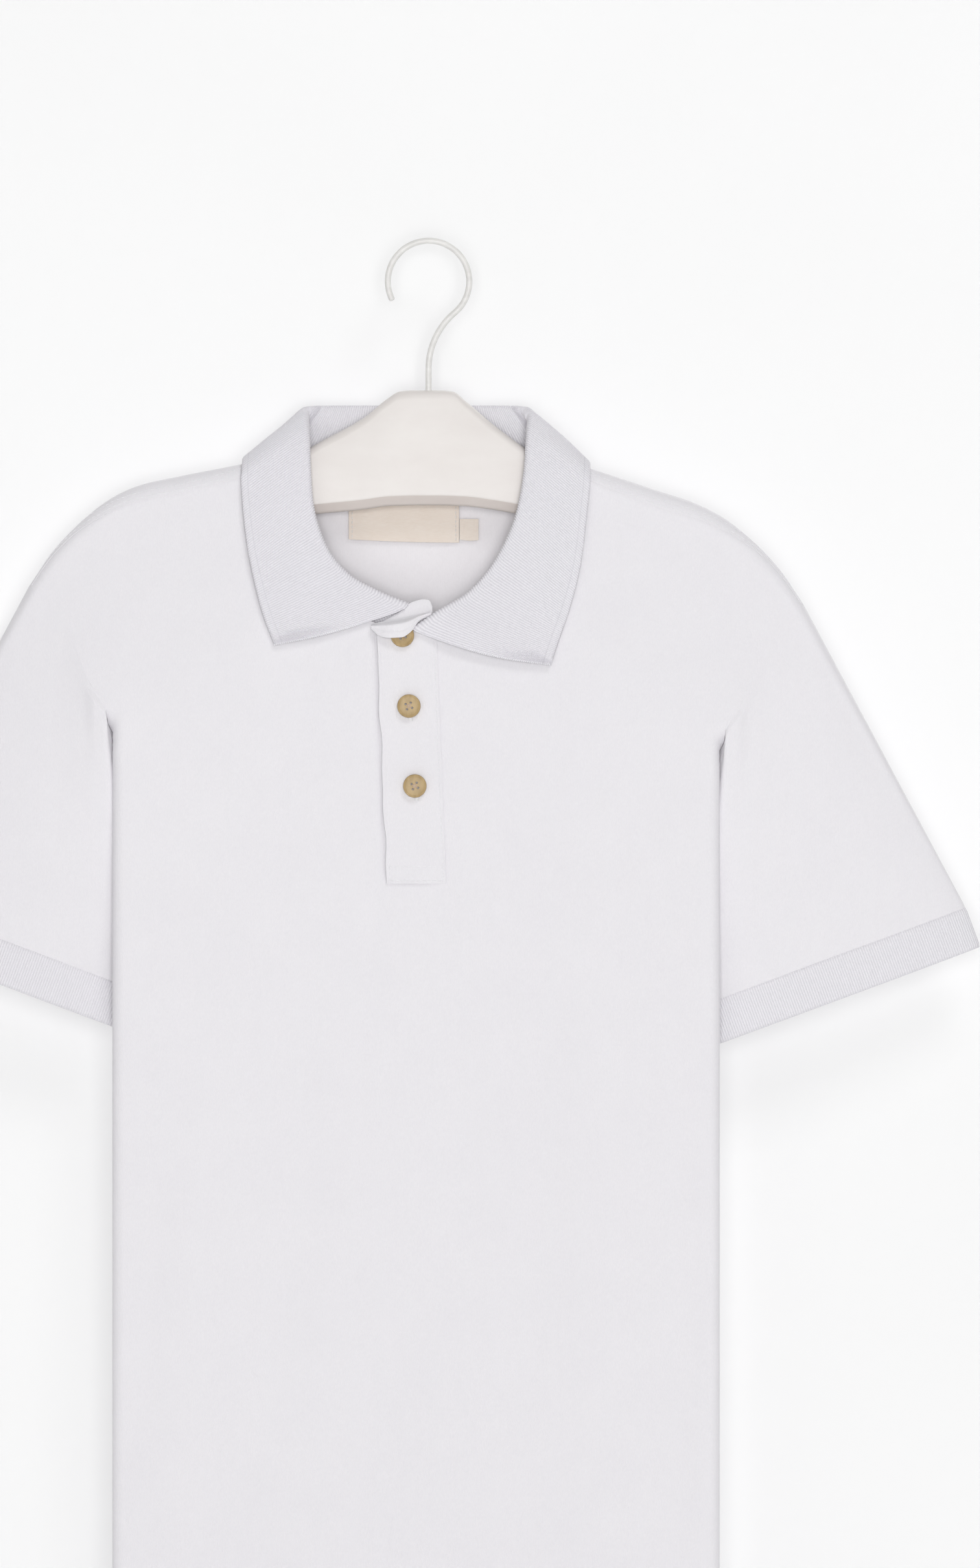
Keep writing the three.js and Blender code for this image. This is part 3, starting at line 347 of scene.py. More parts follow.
    def front(self, x: Array, drop: Array, out: Array | float) -> Array:
        """A place a little way out of the front of the body."""
        return self.hang(x, -self.half_depth(Face.FRONT, x, drop) - out, drop)


# Meshes


def grid_cells(rows: int, count: int, closed: bool = True) -> Array:
    """A grid's cells as four vertex numbers each, by row and column, joined round where closed."""
    j, i = np.meshgrid(np.arange(rows - 1), np.arange(count if closed else count - 1), indexing="ij")
    after = (i + 1) % count
    low, high = j * count, (j + 1) * count
    return np.stack([low + i, low + after, high + after, high + i], -1)


def make_object(name: str, points: Array, faces: Array | list, sharp: float = 60.0) -> bpy.types.Object:
    """A smooth-shaded mesh object.

    Args:
        name: The object's name.
        points: Vertices in millimetres.
        faces: Vertex numbers of each face.
        sharp: Edges that turn by more degrees than this are drawn sharp.

    Returns:
        The new object, in the scene.
    """
    mesh = bpy.data.meshes.new(name)
    faces = faces.tolist() if isinstance(faces, np.ndarray) else faces
    mesh.from_pydata((points * MM).tolist(), [], faces)
    mesh.polygons.foreach_set("use_smooth", [True] * len(mesh.polygons))
    mesh.set_sharp_from_angle(angle=math.radians(sharp))
    mesh.update()
    made = bpy.data.objects.new(name, mesh)
    bpy.context.scene.collection.objects.link(made)
    return made


@dataclass
class Wall:
    """A closed wall of cloth on a grid of points of its outer face."""

    rows: Array
    thickness: float
    flip: bool = False
    closed: bool = False
    keep: Array | None = None
    out: Array | None = None
    weave: Array | None = None

    def cells(self) -> Array:
        """The grid's cells as four vertex numbers each, facing out."""
        cells = grid_cells(*self.rows.shape[:2], self.closed)
        if self.keep is not None:
            cells = cells[self.keep]
        cells = cells.reshape(-1, 4)
        return cells[:, ::-1] if self.flip else cells

    def normals(self) -> Array:
        """The outward direction at each grid point, in one list."""
        points, cells = self.rows.reshape(-1, 3), self.cells()
        a, b, c, d = (points[cells[:, k]] for k in range(4))
        normal = np.cross(c - a, d - b)
        total = np.zeros_like(points)
        for k in range(4):
            np.add.at(total, cells[:, k], normal)
        return unit(total)

    def build(self, name: str, sharp: float = 60.0) -> bpy.types.Object:
        """Makes the wall.

        Args:
            name: The piece's name.
            sharp: The angle from which edges are drawn sharp.

        Returns:
            The cloth as a closed mesh, with a "weave" attribute where one is given.
        """
        cells, normals = self.cells(), self.normals()
        points = self.rows.reshape(-1, 3)
        out = np.zeros(len(points)) if self.out is None else self.out.reshape(-1)
        outer = points + normals * out[:, None]
        inner = outer - normals * self.thickness
        total = len(points)
        edges = np.concatenate([cells[:, [k, (k + 1) % 4]] for k in range(4)])
        code = edges[:, 0] * total + edges[:, 1]
        back = edges[:, 1] * total + edges[:, 0]
        rim = edges[~np.isin(code, back)]
        first, second = rim[:, 0], rim[:, 1]
        faces = np.concatenate([
            cells,
            cells[:, ::-1] + total,
            np.stack([second, first, first + total, second + total], -1),
        ])
        used, numbers = np.unique(faces, return_inverse=True)
        vertices = np.concatenate([outer, inner])[used]
        made = make_object(name, vertices, numbers.reshape(-1, 4), sharp)
        reverse = np.zeros(len(faces), np.int32)
        reverse[len(cells) : 2 * len(cells)] = 1
        made.data.polygons.foreach_set("material_index", reverse)
        if self.weave is not None:
            weave = np.tile(self.weave.reshape(-1, 2), (2, 1))[used]
            attribute = made.data.attributes.new("weave", "FLOAT_VECTOR", "POINT")
            attribute.data.foreach_set("vector", np.pad(weave, ((0, 0), (0, 1))).ravel())
        return made


@dataclass
class Thread:
    """Collects the stitches of a piece and makes them as one mesh."""

    length: float = 2.1
    gap: float = 0.8
    width: float = 0.42
    points: list[Array] = field(default_factory=list)

    def sew(self, line: Array, normals: Array, lift: float = 0.05) -> None:
        """Adds a row of stitches.

        Args:
            line: Points along the row.
            normals: The direction out of the cloth at each.
            lift: How far the thread's middle stands off the cloth.
        """
        total = length_of(line)
        count = max(1, int(total / (self.length + self.gap)))
        starts = (np.arange(count) + 0.5 * self.gap / (self.length + self.gap)) / count
        ends = starts + self.length / (self.length + self.gap) / count
        first, last = along(line, starts), along(line, ends)
        away = unit(along_values(line, normals, (starts + ends) / 2))
        self.strands(first + away * lift, last + away * lift, away)

    def strands(self, first: Array, last: Array, away: Array) -> None:
        """Adds single strands from each first to each last point, humped in their own middle."""
        ahead = unit(last - first)
        across = unit(np.cross(ahead, away))
        rings = []
        for share, swell in ((0.0, 0.25), (0.22, 0.85), (0.5, 1.0), (0.78, 0.85), (1.0, 0.25)):
            middle = mix(first, last, share) + away * self.width * 0.3 * (swell - 0.6)
            for angle in np.arange(6) * math.pi / 3:
                ring = across * math.cos(angle) + away * math.sin(angle) * 0.8
                rings.append(middle + ring * self.width / 2 * swell)
        self.points.append(np.stack(rings, 1).reshape(-1, 5, 6, 3))

    def build(self, name: str) -> bpy.types.Object:
        """All the stitches as one mesh object."""
        strands = np.concatenate(self.points)
        ring = np.arange(6)
        quads = grid_cells(5, 6).reshape(-1, 4)[:, ::-1]
        faces = (quads[None] + (np.arange(len(strands)) * 30)[:, None, None]).reshape(-1, 4).tolist()
        for k in range(len(strands)):
            faces.append([30 * k + n for n in ring])
            faces.append([30 * k + 24 + n for n in ring[::-1]])
        return make_object(name, strands.reshape(-1, 3), faces, 80.0)


def along_values(line: Array, values: Array, shares: Array) -> Array:
    """Values that go with a line's points, read at shares of its length."""
    steps = np.linalg.norm(np.diff(line, axis=0), axis=-1)
    length = np.concatenate([[0.0], np.cumsum(steps)])
    return np.stack([np.interp(shares * length[-1], length, column) for column in values.T], -1)


# Finishes


class Board:
    """A material's nodes, with short calls to add and join them."""

    def __init__(self, name: str) -> None:
        """Starts a material with one main shader."""
        self.material = bpy.data.materials.new(name)
        self.material.use_nodes = True
        self.tree = self.material.node_tree
        self.tree.nodes.clear()
        self.output = self.add("ShaderNodeOutputMaterial")
        self.shader = self.add("ShaderNodeBsdfPrincipled")
        self.join(self.shader.outputs[0], self.output.inputs[0])

    def add(self, kind: str, **settings: object) -> bpy.types.Node:
        """Adds a node and sets its options."""
        node = self.tree.nodes.new(kind)
        for name, value in settings.items():
            setattr(node, name, value)
        return node

    def join(self, start: Socket, end: Socket) -> None:
        """Links two sockets."""
        self.tree.links.new(start, end)

    def math(self, operation: str, first: object, second: object = 0.0) -> Socket:
        """A sum of two numbers or sockets."""
        node = self.add("ShaderNodeMath", operation=operation)
        for socket, value in zip(node.inputs, (first, second)):
            if isinstance(value, Socket):
                self.join(value, socket)
            else:
                socket.default_value = value
        return node.outputs[0]

    def places(self, scale: Triple = (1, 1, 1), turn: float = 0.0) -> Socket:
        """The object's own coordinates, stretched and turned about the depth axis."""
        where = self.add("ShaderNodeTexCoord")
        mapping = self.add("ShaderNodeMapping")
        mapping.inputs["Scale"].default_value = scale
        mapping.inputs["Rotation"].default_value = (0, turn, 0)
        self.join(where.outputs["Object"], mapping.inputs["Vector"])
        return mapping.outputs[0]

    def weave(self) -> tuple[Socket, Socket]:
        """The cloth's own coordinates in millimetres."""
        read = self.add("ShaderNodeAttribute", attribute_name="weave")
        parts = self.add("ShaderNodeSeparateXYZ")
        self.join(read.outputs["Vector"], parts.inputs[0])
        return parts.outputs[0], parts.outputs[1]

    def noise(self, vector: Socket, scale: float, detail: float = 2.0) -> Socket:
        """Cloudy noise from 0 to 1."""
        node = self.add("ShaderNodeTexNoise")
        node.inputs["Scale"].default_value = scale
        node.inputs["Detail"].default_value = detail
        self.join(vector, node.inputs["Vector"])
        return node.outputs[0]

    def blend(self, share: Socket, low: Colour, high: Colour) -> Socket:
        """A colour between two, by a socket."""
        ramp = self.add("ShaderNodeValToRGB")
        ramp.color_ramp.elements[0].color = (*low, 1)
        ramp.color_ramp.elements[0].position = 0.3
        ramp.color_ramp.elements[1].color = (*high, 1)
        ramp.color_ramp.elements[1].position = 0.7
        self.join(share, ramp.inputs[0])
        return ramp.outputs[0]

    def bump(self, height: Socket, depth: float, strength: float = 1.0) -> None:
        """Puts a relief of some depth in millimetres on the shader, over what is there."""
        node = self.add("ShaderNodeBump")
        node.inputs["Distance"].default_value = depth * MM
        node.inputs["Strength"].default_value = strength
        self.join(height, node.inputs["Height"])
        here = self.shader.inputs["Normal"]
        if here.is_linked:
            self.join(here.links[0].from_socket, node.inputs["Normal"])
        self.join(node.outputs[0], here)

    def plain(self, **values: object) -> None:
        """Sets the shader's own sockets."""
        for name, value in values.items():
            self.shader.inputs[name.replace("_", " ")].default_value = value


@dataclass(frozen=True)
class JerseyFinish:
    """Fine single jersey with a soft matte face."""

    name: str = "jersey_white"
    low: Colour = (0.77, 0.755, 0.785)
    high: Colour = (0.805, 0.79, 0.815)
    wale: float = 0.62

    def make(self) -> bpy.types.Material:
        """Builds the material."""
        board = Board(self.name)
        places = board.places()
        cloudy = board.noise(places, 38, 3)
        fine = board.noise(board.places((1, 1, 0.45)), 1500, 2)
        share = board.math("ADD", board.math("MULTIPLY", cloudy, 0.3), board.math("MULTIPLY", fine, 0.7))
        board.join(board.blend(share, self.low, self.high), board.shader.inputs["Base Color"])
        wave = board.add("ShaderNodeTexWave", wave_type="BANDS", bands_direction="X")
        wave.inputs["Scale"].default_value = math.pi / 10 / (self.wale * MM)
        wave.inputs["Distortion"].default_value = 1.2
        wave.inputs["Detail Scale"].default_value = 2.0
        board.join(places, wave.inputs["Vector"])
        board.bump(wave.outputs[1], 0.05, 0.5)
        board.bump(fine, 0.12, 0.6)
        board.plain(Roughness=0.94, Sheen_Weight=0.18, Sheen_Roughness=0.5, Specular_IOR_Level=0.2)
        return board.material


@dataclass(frozen=True)
class RibFinish:
    """Flat-knit rib with painted shade in its valleys and along the band's groove, and small loops that run
    down each rib.
    """

    name: str
    band: float = 0.0
    low: Colour = (0.655, 0.64, 0.68)
    high: Colour = (0.825, 0.81, 0.845)
    pitch: float = 1.24
    loop: float = 0.85

    def make(self) -> bpy.types.Material:
        """Builds the material."""
        board = Board(self.name)
        u, v = board.weave()
        fine = board.noise(board.places(), 1300, 2)
        # The colour follows the rib phase and is darker in each valley: painted shade.
        ribs = board.math("COSINE", board.math("MULTIPLY", u, 2 * math.pi / self.pitch))
        share = board.math("ADD", board.math("MULTIPLY", ribs, 0.17), board.math("MULTIPLY", fine, 0.3))
        share = board.math("ADD", share, 0.35)
        # A painted shade line darkens the colour along the band's groove.
        if self.band:
            from_groove = board.math("ABSOLUTE", board.math("SUBTRACT", v, self.band))
            painted_groove_shade = board.math("LESS_THAN", from_groove, 0.32)
            share = board.math("SUBTRACT", share, board.math("MULTIPLY", painted_groove_shade, 0.16))
        board.join(board.blend(share, self.low, self.high), board.shader.inputs["Base Color"])
        loops = board.math("SINE", board.math("MULTIPLY", v, 2 * math.pi / self.loop))
        board.bump(loops, 0.04, 0.5)
        board.bump(fine, 0.08, 0.5)
        board.plain(Roughness=0.93, Sheen_Weight=0.2, Sheen_Roughness=0.5, Specular_IOR_Level=0.2)
        return board.material


@dataclass(frozen=True)
class SatinFinish:
    """Woven satin tape with a silky face."""

    name: str = "satin_cream"
    low: Colour = (0.79, 0.69, 0.60)
    high: Colour = (0.84, 0.755, 0.675)

    def make(self) -> bpy.types.Material:
        """Builds the material."""
        board = Board(self.name)
        stretched = board.noise(board.places((0.25, 1, 1)), 1600, 3)
        soft = board.noise(board.places(), 120, 2)
        share = board.math("ADD", board.math("MULTIPLY", stretched, 0.6), board.math("MULTIPLY", soft, 0.4))
        board.join(board.blend(share, self.low, self.high), board.shader.inputs["Base Color"])
        rough = board.math("ADD", board.math("MULTIPLY", stretched, 0.25), 0.36)
        board.join(rough, board.shader.inputs["Roughness"])
        wave = board.add("ShaderNodeTexWave", wave_type="BANDS", bands_direction="Z")
        wave.inputs["Scale"].default_value = 900
        board.join(board.places(), wave.inputs["Vector"])
        board.bump(wave.outputs[1], 0.04, 0.5)
        board.bump(stretched, 0.08, 0.6)
        board.plain(Sheen_Weight=0.15, Specular_IOR_Level=0.45)
        return board.material


@dataclass(frozen=True)
class ButtonFinish:
    """Pearly horn-like plastic with streaks across the disc."""

    name: str = "button_olive_pearl"
    low: Colour = (0.33, 0.225, 0.10)
    high: Colour = (0.53, 0.39, 0.20)
    turn: float = 0.3

    def make(self) -> bpy.types.Material:
        """Builds the material."""
        board = Board(self.name)
        streaks = board.noise(board.places((1, 1, 0.3), self.turn), 420, 3)
        cloud = board.noise(board.places(), 210, 3)
        across, soft = board.math("MULTIPLY", streaks, 0.65), board.math("MULTIPLY", cloud, 0.35)
        share = board.math("ADD", across, soft)
        board.join(board.blend(share, self.low, self.high), board.shader.inputs["Base Color"])
        rough = board.math("ADD", board.math("MULTIPLY", streaks, 0.2), 0.38)
        board.join(rough, board.shader.inputs["Roughness"])
        board.bump(streaks, 0.05, 0.4)
        board.plain(Coat_Weight=0.08, Coat_Roughness=0.2, Specular_IOR_Level=0.3)
        return board.material


@dataclass(frozen=True)
class PaintFinish:
    """Smooth paint or moulded plastic with a faint unevenness."""

    name: str
    low: Colour
    high: Colour
    roughness: float = 0.42
    relief: float = 0.05
    scale: float = 90.0

    def make(self) -> bpy.types.Material:
        """Builds the material."""
        board = Board(self.name)
        cloud = board.noise(board.places((0.4, 1, 1)), self.scale, 4)
        fine = board.noise(board.places(), self.scale * 9, 3)
        board.join(board.blend(cloud, self.low, self.high), board.shader.inputs["Base Color"])
        rough = board.math("ADD", board.math("MULTIPLY", fine, 0.16), self.roughness - 0.08)
        board.join(rough, board.shader.inputs["Roughness"])
        board.bump(fine, self.relief, 0.5)
        board.plain(Specular_IOR_Level=0.4)
        return board.material


@dataclass(frozen=True)
class ThreadFinish:
    """Twisted sewing thread."""

    name: str
    low: Colour
    high: Colour

    def make(self) -> bpy.types.Material:
        """Builds the material."""
        board = Board(self.name)
        twist = board.noise(board.places((1, 1, 1.6), 0.7), 3200, 2)
        board.join(board.blend(twist, self.low, self.high), board.shader.inputs["Base Color"])
        board.bump(twist, 0.06, 0.6)
        board.plain(Roughness=0.7, Sheen_Weight=0.2)
        return board.material


@dataclass(frozen=True)
class StageFinish:
    """The pale floor, or the backdrop that shows from the front only."""

    name: str
    colour: Colour
    glow: float = 0.0
    one_sided: bool = False

    def make(self) -> bpy.types.Material:
        """Builds the material."""
        board = Board(self.name)
        cloud = board.noise(board.places(), 3.0, 2)
        lighter = tuple(min(1.0, 1.03 * part) for part in self.colour)
        board.join(board.blend(cloud, self.colour, lighter), board.shader.inputs["Base Color"])
        board.plain(Roughness=0.9, Specular_IOR_Level=0.1, Emission_Strength=self.glow)
        board.plain(Emission_Color=(1.0, 1.0, 1.0, 1.0))
        if self.one_sided:
            clear = board.add("ShaderNodeBsdfTransparent")
            facing = board.add("ShaderNodeNewGeometry")
            either = board.add("ShaderNodeMixShader")
            board.join(facing.outputs["Backfacing"], either.inputs[0])
            board.join(board.shader.outputs[0], either.inputs[1])
            board.join(clear.outputs[0], either.inputs[2])
            board.join(either.outputs[0], board.output.inputs[0])
        return board.material


# Pieces of the shirt


@dataclass(frozen=True)
class Cut:
    """What a sheet was cut to: width, length and area, in millimetres."""

    width: float
    length: float
    share: float = 1.0


def dress(
    piece: bpy.types.Object,
    finish: bpy.types.Material | tuple[bpy.types.Material, bpy.types.Material],
    nodes: Sequence[str] = (),
) -> bpy.types.Object:
    """Gives a piece its finish and its place in the model.

    Args:
        piece: The piece.
        finish: Its material, or those of its face and its reverse.
        nodes: The part's nodes that it stands for.

    Returns:
        The piece.
    """
    numbers = np.zeros(len(piece.data.polygons), np.int32)
    if isinstance(finish, tuple):
        piece.data.polygons.foreach_get("material_index", numbers)
    piece.data.materials.clear()
    for material in finish if isinstance(finish, tuple) else (finish,):
        piece.data.materials.append(material)
    piece.data.polygons.foreach_set("material_index", numbers)
    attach(piece, "root")
    if nodes:
        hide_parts(*nodes)
    log.info("%s: %d faces", piece.name, len(piece.data.polygons))
    return piece


@dataclass
class Placket:
    """Where the placket runs, and its three pieces."""

    form: Form
    top_drop: float = 122.0
    bottom_drop: float = 242.2
    top_x: float = -4.4
    bottom_x: float = 0.3
    half_width: float = 14.6
    lap: float = 1.4
    slot_bottom: float = 240.0
    layer: float = 0.35
    jersey: float = 1.4
    cross_seam: float = 8.5
    gape: float = 0.5
    edge_seam: float = 1.6

    def centre(self, drop: Array | float) -> Array:
        """The middle line's x at each height."""
        down = np.asarray(drop, float) - self.top_drop
        share = np.minimum(1.0, down / (self.bottom_drop - self.top_drop))
        return mix(self.top_x, self.bottom_x, share) * (1 - smooth(self.bottom_drop, 400, drop))

    @property
    def slot_half(self) -> float:
        """Half the width of the slash in the front."""
        return self.half_width - self.lap

    def strip(self, rows: int, columns: int) -> Wall:
        """The upper strip, a little fuller along its folded edge."""
        edge = Curve((0, 0.12, 0.5, 1), (120.4, 118, 117.6, 121))
        u, v = np.meshgrid(np.linspace(0, 1, columns), np.linspace(0, 1, rows))
        drop = mix(edge(u), self.bottom_drop, v)
        x = self.centre(drop) + mix(-self.half_width, self.half_width, u)
        wander = 0.35 * np.sin(v * 17.0) + 0.25 * np.sin(v * 31.0 + 1.0)
        x = x + wander * (1 - smooth(0, 0.35, u)) * smooth(0.02, 0.15, v) * (1 - smooth(0.85, 1, v))
        across = u * 2 * self.half_width
        out = self.layer + self.jersey - 0.9 * smooth(20, 2 * self.half_width, across)
        out = out + self.gape * (1 - smooth(0, 3.2, across)) * (1 - smooth(0.8, 1, v))
        for middle in (self.edge_seam, 2 * self.half_width - self.edge_seam):
            out = out - 0.22 * bell(across - middle, 0.55)
        above = self.bottom_drop - drop
        for middle in (self.edge_seam, self.cross_seam):
            out = out - 0.22 * bell(above - middle, 0.55)
        out = out - 0.5 * smooth(2 * self.half_width - 0.9, 2 * self.half_width, across)
        out = out - 0.9 * (1 - smooth(0, 0.9, above))
        out = out + 0.3 * bell(above - 14, 6) * bell(across - 24, 9)
        for _, button in BUTTON_PLACES[1:]:
            out = out - 0.3 * bell(drop - button, 7) * bell(x + 2, 8)
        points = self.form.front(x, drop, out)
        return Wall(points, self.jersey - 0.4, flip=True)

    def under(self, rows: int, columns: int) -> Wall:
        """The lower strip with the rounded tongue at the neck."""
        edge = Curve(
            (0, 0.47, 0.57, 0.68, 0.85, 0.95, 1), (114.2, 107.4, 104.9, 103.7, 102.8, 103.3, 105.8)
        )
        half = self.slot_half - 0.35
        u, v = np.meshgrid(np.linspace(0, 1, columns), np.linspace(0, 1, rows) ** 1.5)
        drop = mix(edge(u), self.slot_bottom - 0.35, v)
        x = self.centre(drop) + mix(-half, half, u)
        out = -0.25 * bell(drop - edge(u) - 1.6, 0.6) - 0.5 * bell(drop - edge(u), 0.6)
        return Wall(self.form.front(x, drop, out), self.jersey, flip=True)

    def neck_fold(self, rows: int, columns: int) -> Wall:
        """The turned neck edge that stands off the first button."""
        at = (0, 0.12, 0.3, 0.5, 0.67, 0.8, 1)
        place = Curve(at, (-22, -18.5, -13, -7, -2.2, 1.5, 7.5))
        upper = Curve(at, (115.4, 114.2, 113.3, 112.2, 111.1, 110.3, 108.9))
        lower = Curve(at, (117.4, 120.6, 121.9, 121.6, 118.6, 113.6, 110.4))
        stand = Curve(at, (0.3, 1.6, 3.4, 3.8, 3.0, 0.9, 0))
        u, v = np.meshgrid(np.linspace(0, 1, columns), np.linspace(0, 1, rows))
        drop = mix(upper(u), lower(u), v)
        out = self.layer + self.jersey + (stand(u) + self.layer + self.jersey) * smooth(0, 0.3, v)
        out = out - 0.5 * bell(v - 1, 0.1) - 0.3 * bell(v - 0.62, 0.06)
        return Wall(self.form.front(place(u), drop, out), self.jersey - 0.3, flip=True)

    def seams(self, thread: Thread) -> None:
        """Sews the strip's edges, its foot and the turned neck edge."""
        foot, left, right = self.bottom_drop - self.edge_seam, -self.half_width, self.half_width

        def row(x: Array, drop: Array, above: float = 0.0) -> None:
            """Sews one row on the strip, or a height above it."""
            across = x - self.centre(drop) + self.half_width
            out = self.layer + self.jersey - 0.2 - 0.9 * smooth(20, 2 * self.half_width, across) + above
            thread.sew(self.form.front(x, drop, out), self.form.outward(Face.FRONT, x, drop))

        for edge, top in ((left + self.edge_seam, 122.0), (right - self.edge_seam, 124.0)):
            drop = np.linspace(top, foot, 60)
            row(self.centre(drop) + edge, drop)
        for drop_at in (foot, self.bottom_drop - self.cross_seam):
            x = np.linspace(left + self.edge_seam, right - self.edge_seam, 20)
            row(self.centre(drop_at) + x, np.full_like(x, drop_at))
        x = np.linspace(-17, -4, 16)
        row(x, 118.4 + 0 * x, self.layer + self.jersey + 3.6)


@dataclass
class Panels:
    """The front and the back, each one piece of jersey from side seam to side seam."""

    form: Form
    placket: Placket
    jersey: float = 1.4
    hem_height: float = 20.0
    hem_rise: float = 0.6
    hem_rows: tuple[float, float] = (1.8, 4.4)
    shoulder_rows: tuple[float, float] = (1.6, 4.2)
    reference_drop: float = 130.0
    row_step: float = 3.4
    cells: tuple[int, ...] = (5, 22, 5, 15, 12, 20, 5, 1)
    crowding: float = 1.5
    front_creases: tuple[Crease, ...] = (
        Crease(-20, 262, 4, 46, 5, -0.7),
        Crease(24, 268, -8, 60, 8, 0.6),
        Crease(120, 205, -24, 110, 12, -1.0),
        Crease(104, 236, -30, 120, 14, 0.8),
        Crease(-122, 214, 26, 120, 13, -1.0),
        Crease(-104, 190, 36, 100, 13, 0.7),
        Crease(96, 132, 62, 90, 12, 0.7),
        Crease(-92, 128, -58, 80, 12, 0.6),
        Crease(60, 400, 3, 260, 15, -0.8),
        Crease(-70, 452, -4, 300, 17, -0.9),
        Crease(128, 520, 2, 280, 9, -0.8),
        Crease(-134, 470, -2, 320, 9, -0.8),
        Crease(8, 560, 2, 240, 20, 0.7),
    )
    back_creases: tuple[Crease, ...] = (
        Crease(0, 150, 90, 150, 16, 0.8),
        Crease(112, 214, -26, 120, 13, -1.0),
        Crease(-116, 206, 28, 120, 13, -1.0),
        Crease(92, 160, -48, 100, 13, 0.8),
        Crease(-84, 152, 50, 96, 13, 0.8),
        Crease(42, 380, 4, 300, 16, -0.9),
        Crease(-46, 420, -3, 320, 18, -0.8),
        Crease(130, 500, 2, 300, 9, -0.8),
        Crease(-132, 520, -2, 280, 9, -0.8),
        Crease(-10, 600, 2, 200, 20, 0.7),
    )

    def reaches(self, side: int, drop: Array, end: Array) -> Array:
        """The reach of each column at each row.

        Args:
            side: The sign of x.
            drop: One height for each row.
            end: How far each row reaches.

        Returns:
            Reaches by row and column, from the centre line out.
        """
        form = self.form
        centre = side * self.placket.centre(np.maximum(drop, 117))
        slot = centre + self.placket.slot_half
        turn = mix(126, form.turn_x, smooth(105, 165, drop))
        arc = np.minimum(form.fold_radius * form.fold_turn, 0.6 * (end - turn))
        tail = np.minimum(form.tail, (end - turn - arc) / 6)
        last = end - tail - np.minimum(form.nose_arc, (end - turn - arc) / 3)
        one = np.ones_like(drop)
        stops = [centre, slot, 66 * one, form.neck_x * one, turn, turn + arc, last, end - tail, end]
        columns = [centre]
        for number, (start, stop, count) in enumerate(zip(stops, stops[1:], self.cells)):
            power = self.crowding if number == 1 else 1.0
            columns += [mix(start, stop, (k / count) ** power) for k in range(1, count + 1)]
        return np.stack(columns, -1)

    def top(self, face: Face, across: Array) -> Array:
        """The height of a panel's upper edge."""
        form = self.form
        shoulder = form.ridge(across) + (form.forward_seam(across) if face is Face.FRONT else 0)
        neck = form.front_neck(across) if face is Face.FRONT else form.back_neck(across)
        return np.where(across > form.neck_x - 0.01, shoulder, neck)

    def body_drops(self) -> Array:
        """The rows below the chest, with one on the foot of the slash and some on the hem."""
        hem, slot = self.form.hem_drop - self.hem_height, self.placket.slot_bottom
        upper = np.linspace(self.reference_drop, slot, int((slot - self.reference_drop) / self.row_step))
        lower = np.linspace(slot, hem, int((hem - slot) / self.row_step))[1:]
        foot = hem + np.array([0.8, 2.6, 4.2, 8, 12, 16, 18.4, 19.5, 20])
        return np.concatenate([upper, lower, foot])

    def grid(self, face: Face) -> tuple[Array, Array, Array, Array]:
        """The panel's grid.

        Args:
            face: Front or back.

        Returns:
            Points, signed reaches, heights, and how far each point is from the row's end.
        """
        form = self.form
        blocks: list[tuple[Array, Array, Array, Array]] = []
        shoulder = float(self.top(face, np.array(form.shoulder_x)))

        def block(drops: Array, ends: Array, height: Callable[[Array], Array], lies: Face) -> None:
            """Adds rows that reach as far as their ends, on both sides."""
            halves = []
            for side in (-1, 1):
                reach = self.reaches(side, drops, ends)
                drop = height(reach)
                left_over = ends[:, None] - reach
                halves.append((form.point(lies, side, reach, drop), side * reach, drop, left_over))
            left, right = halves
            joined = [np.concatenate([a[:, ::-1], b[:, 1:]], 1) for a, b in zip(left, right)]
            blocks.append(tuple(joined))

        if face is Face.BACK:
            shares = np.array([1, 0.86, 0.66, 0.44, 0.24, 0.1])
            drops = shoulder + shares * float(form.forward_seam(form.shoulder_x))
            block(
                drops,
                form.armhole(drops),
                lambda reach: form.ridge(reach) + shares[:, None] * form.forward_seam(reach),
                Face.FRONT,
            )
        shares = np.concatenate([[0, 0.012, 0.03], np.linspace(0, 1, 24)[1:-1] ** 1.35])
        shares = np.sort(shares)
        drops = mix(shoulder, self.reference_drop, shares)
        ends = form.armhole(drops)
        stretch = (form.shoulder_x - form.neck_x) / (ends - form.neck_x)
        stretch = mix(1.0, stretch, smooth(0, 0.05, shares))[:, None]

        def sloping(reach: Array) -> Array:
            """The heights of rows that turn from the upper edge's line to level."""
            across = np.abs(reach)
            above = np.where(across > form.neck_x, form.neck_x + (across - form.neck_x) * stretch, across)
            return mix(self.top(face, above), self.reference_drop, shares[:, None])

        block(drops, ends, sloping, face)
        drops = self.body_drops()
        block(drops, form.armhole(drops), lambda reach: np.broadcast_to(drops[:, None], reach.shape), face)
        return tuple(np.concatenate(parts) for parts in zip(*blocks))

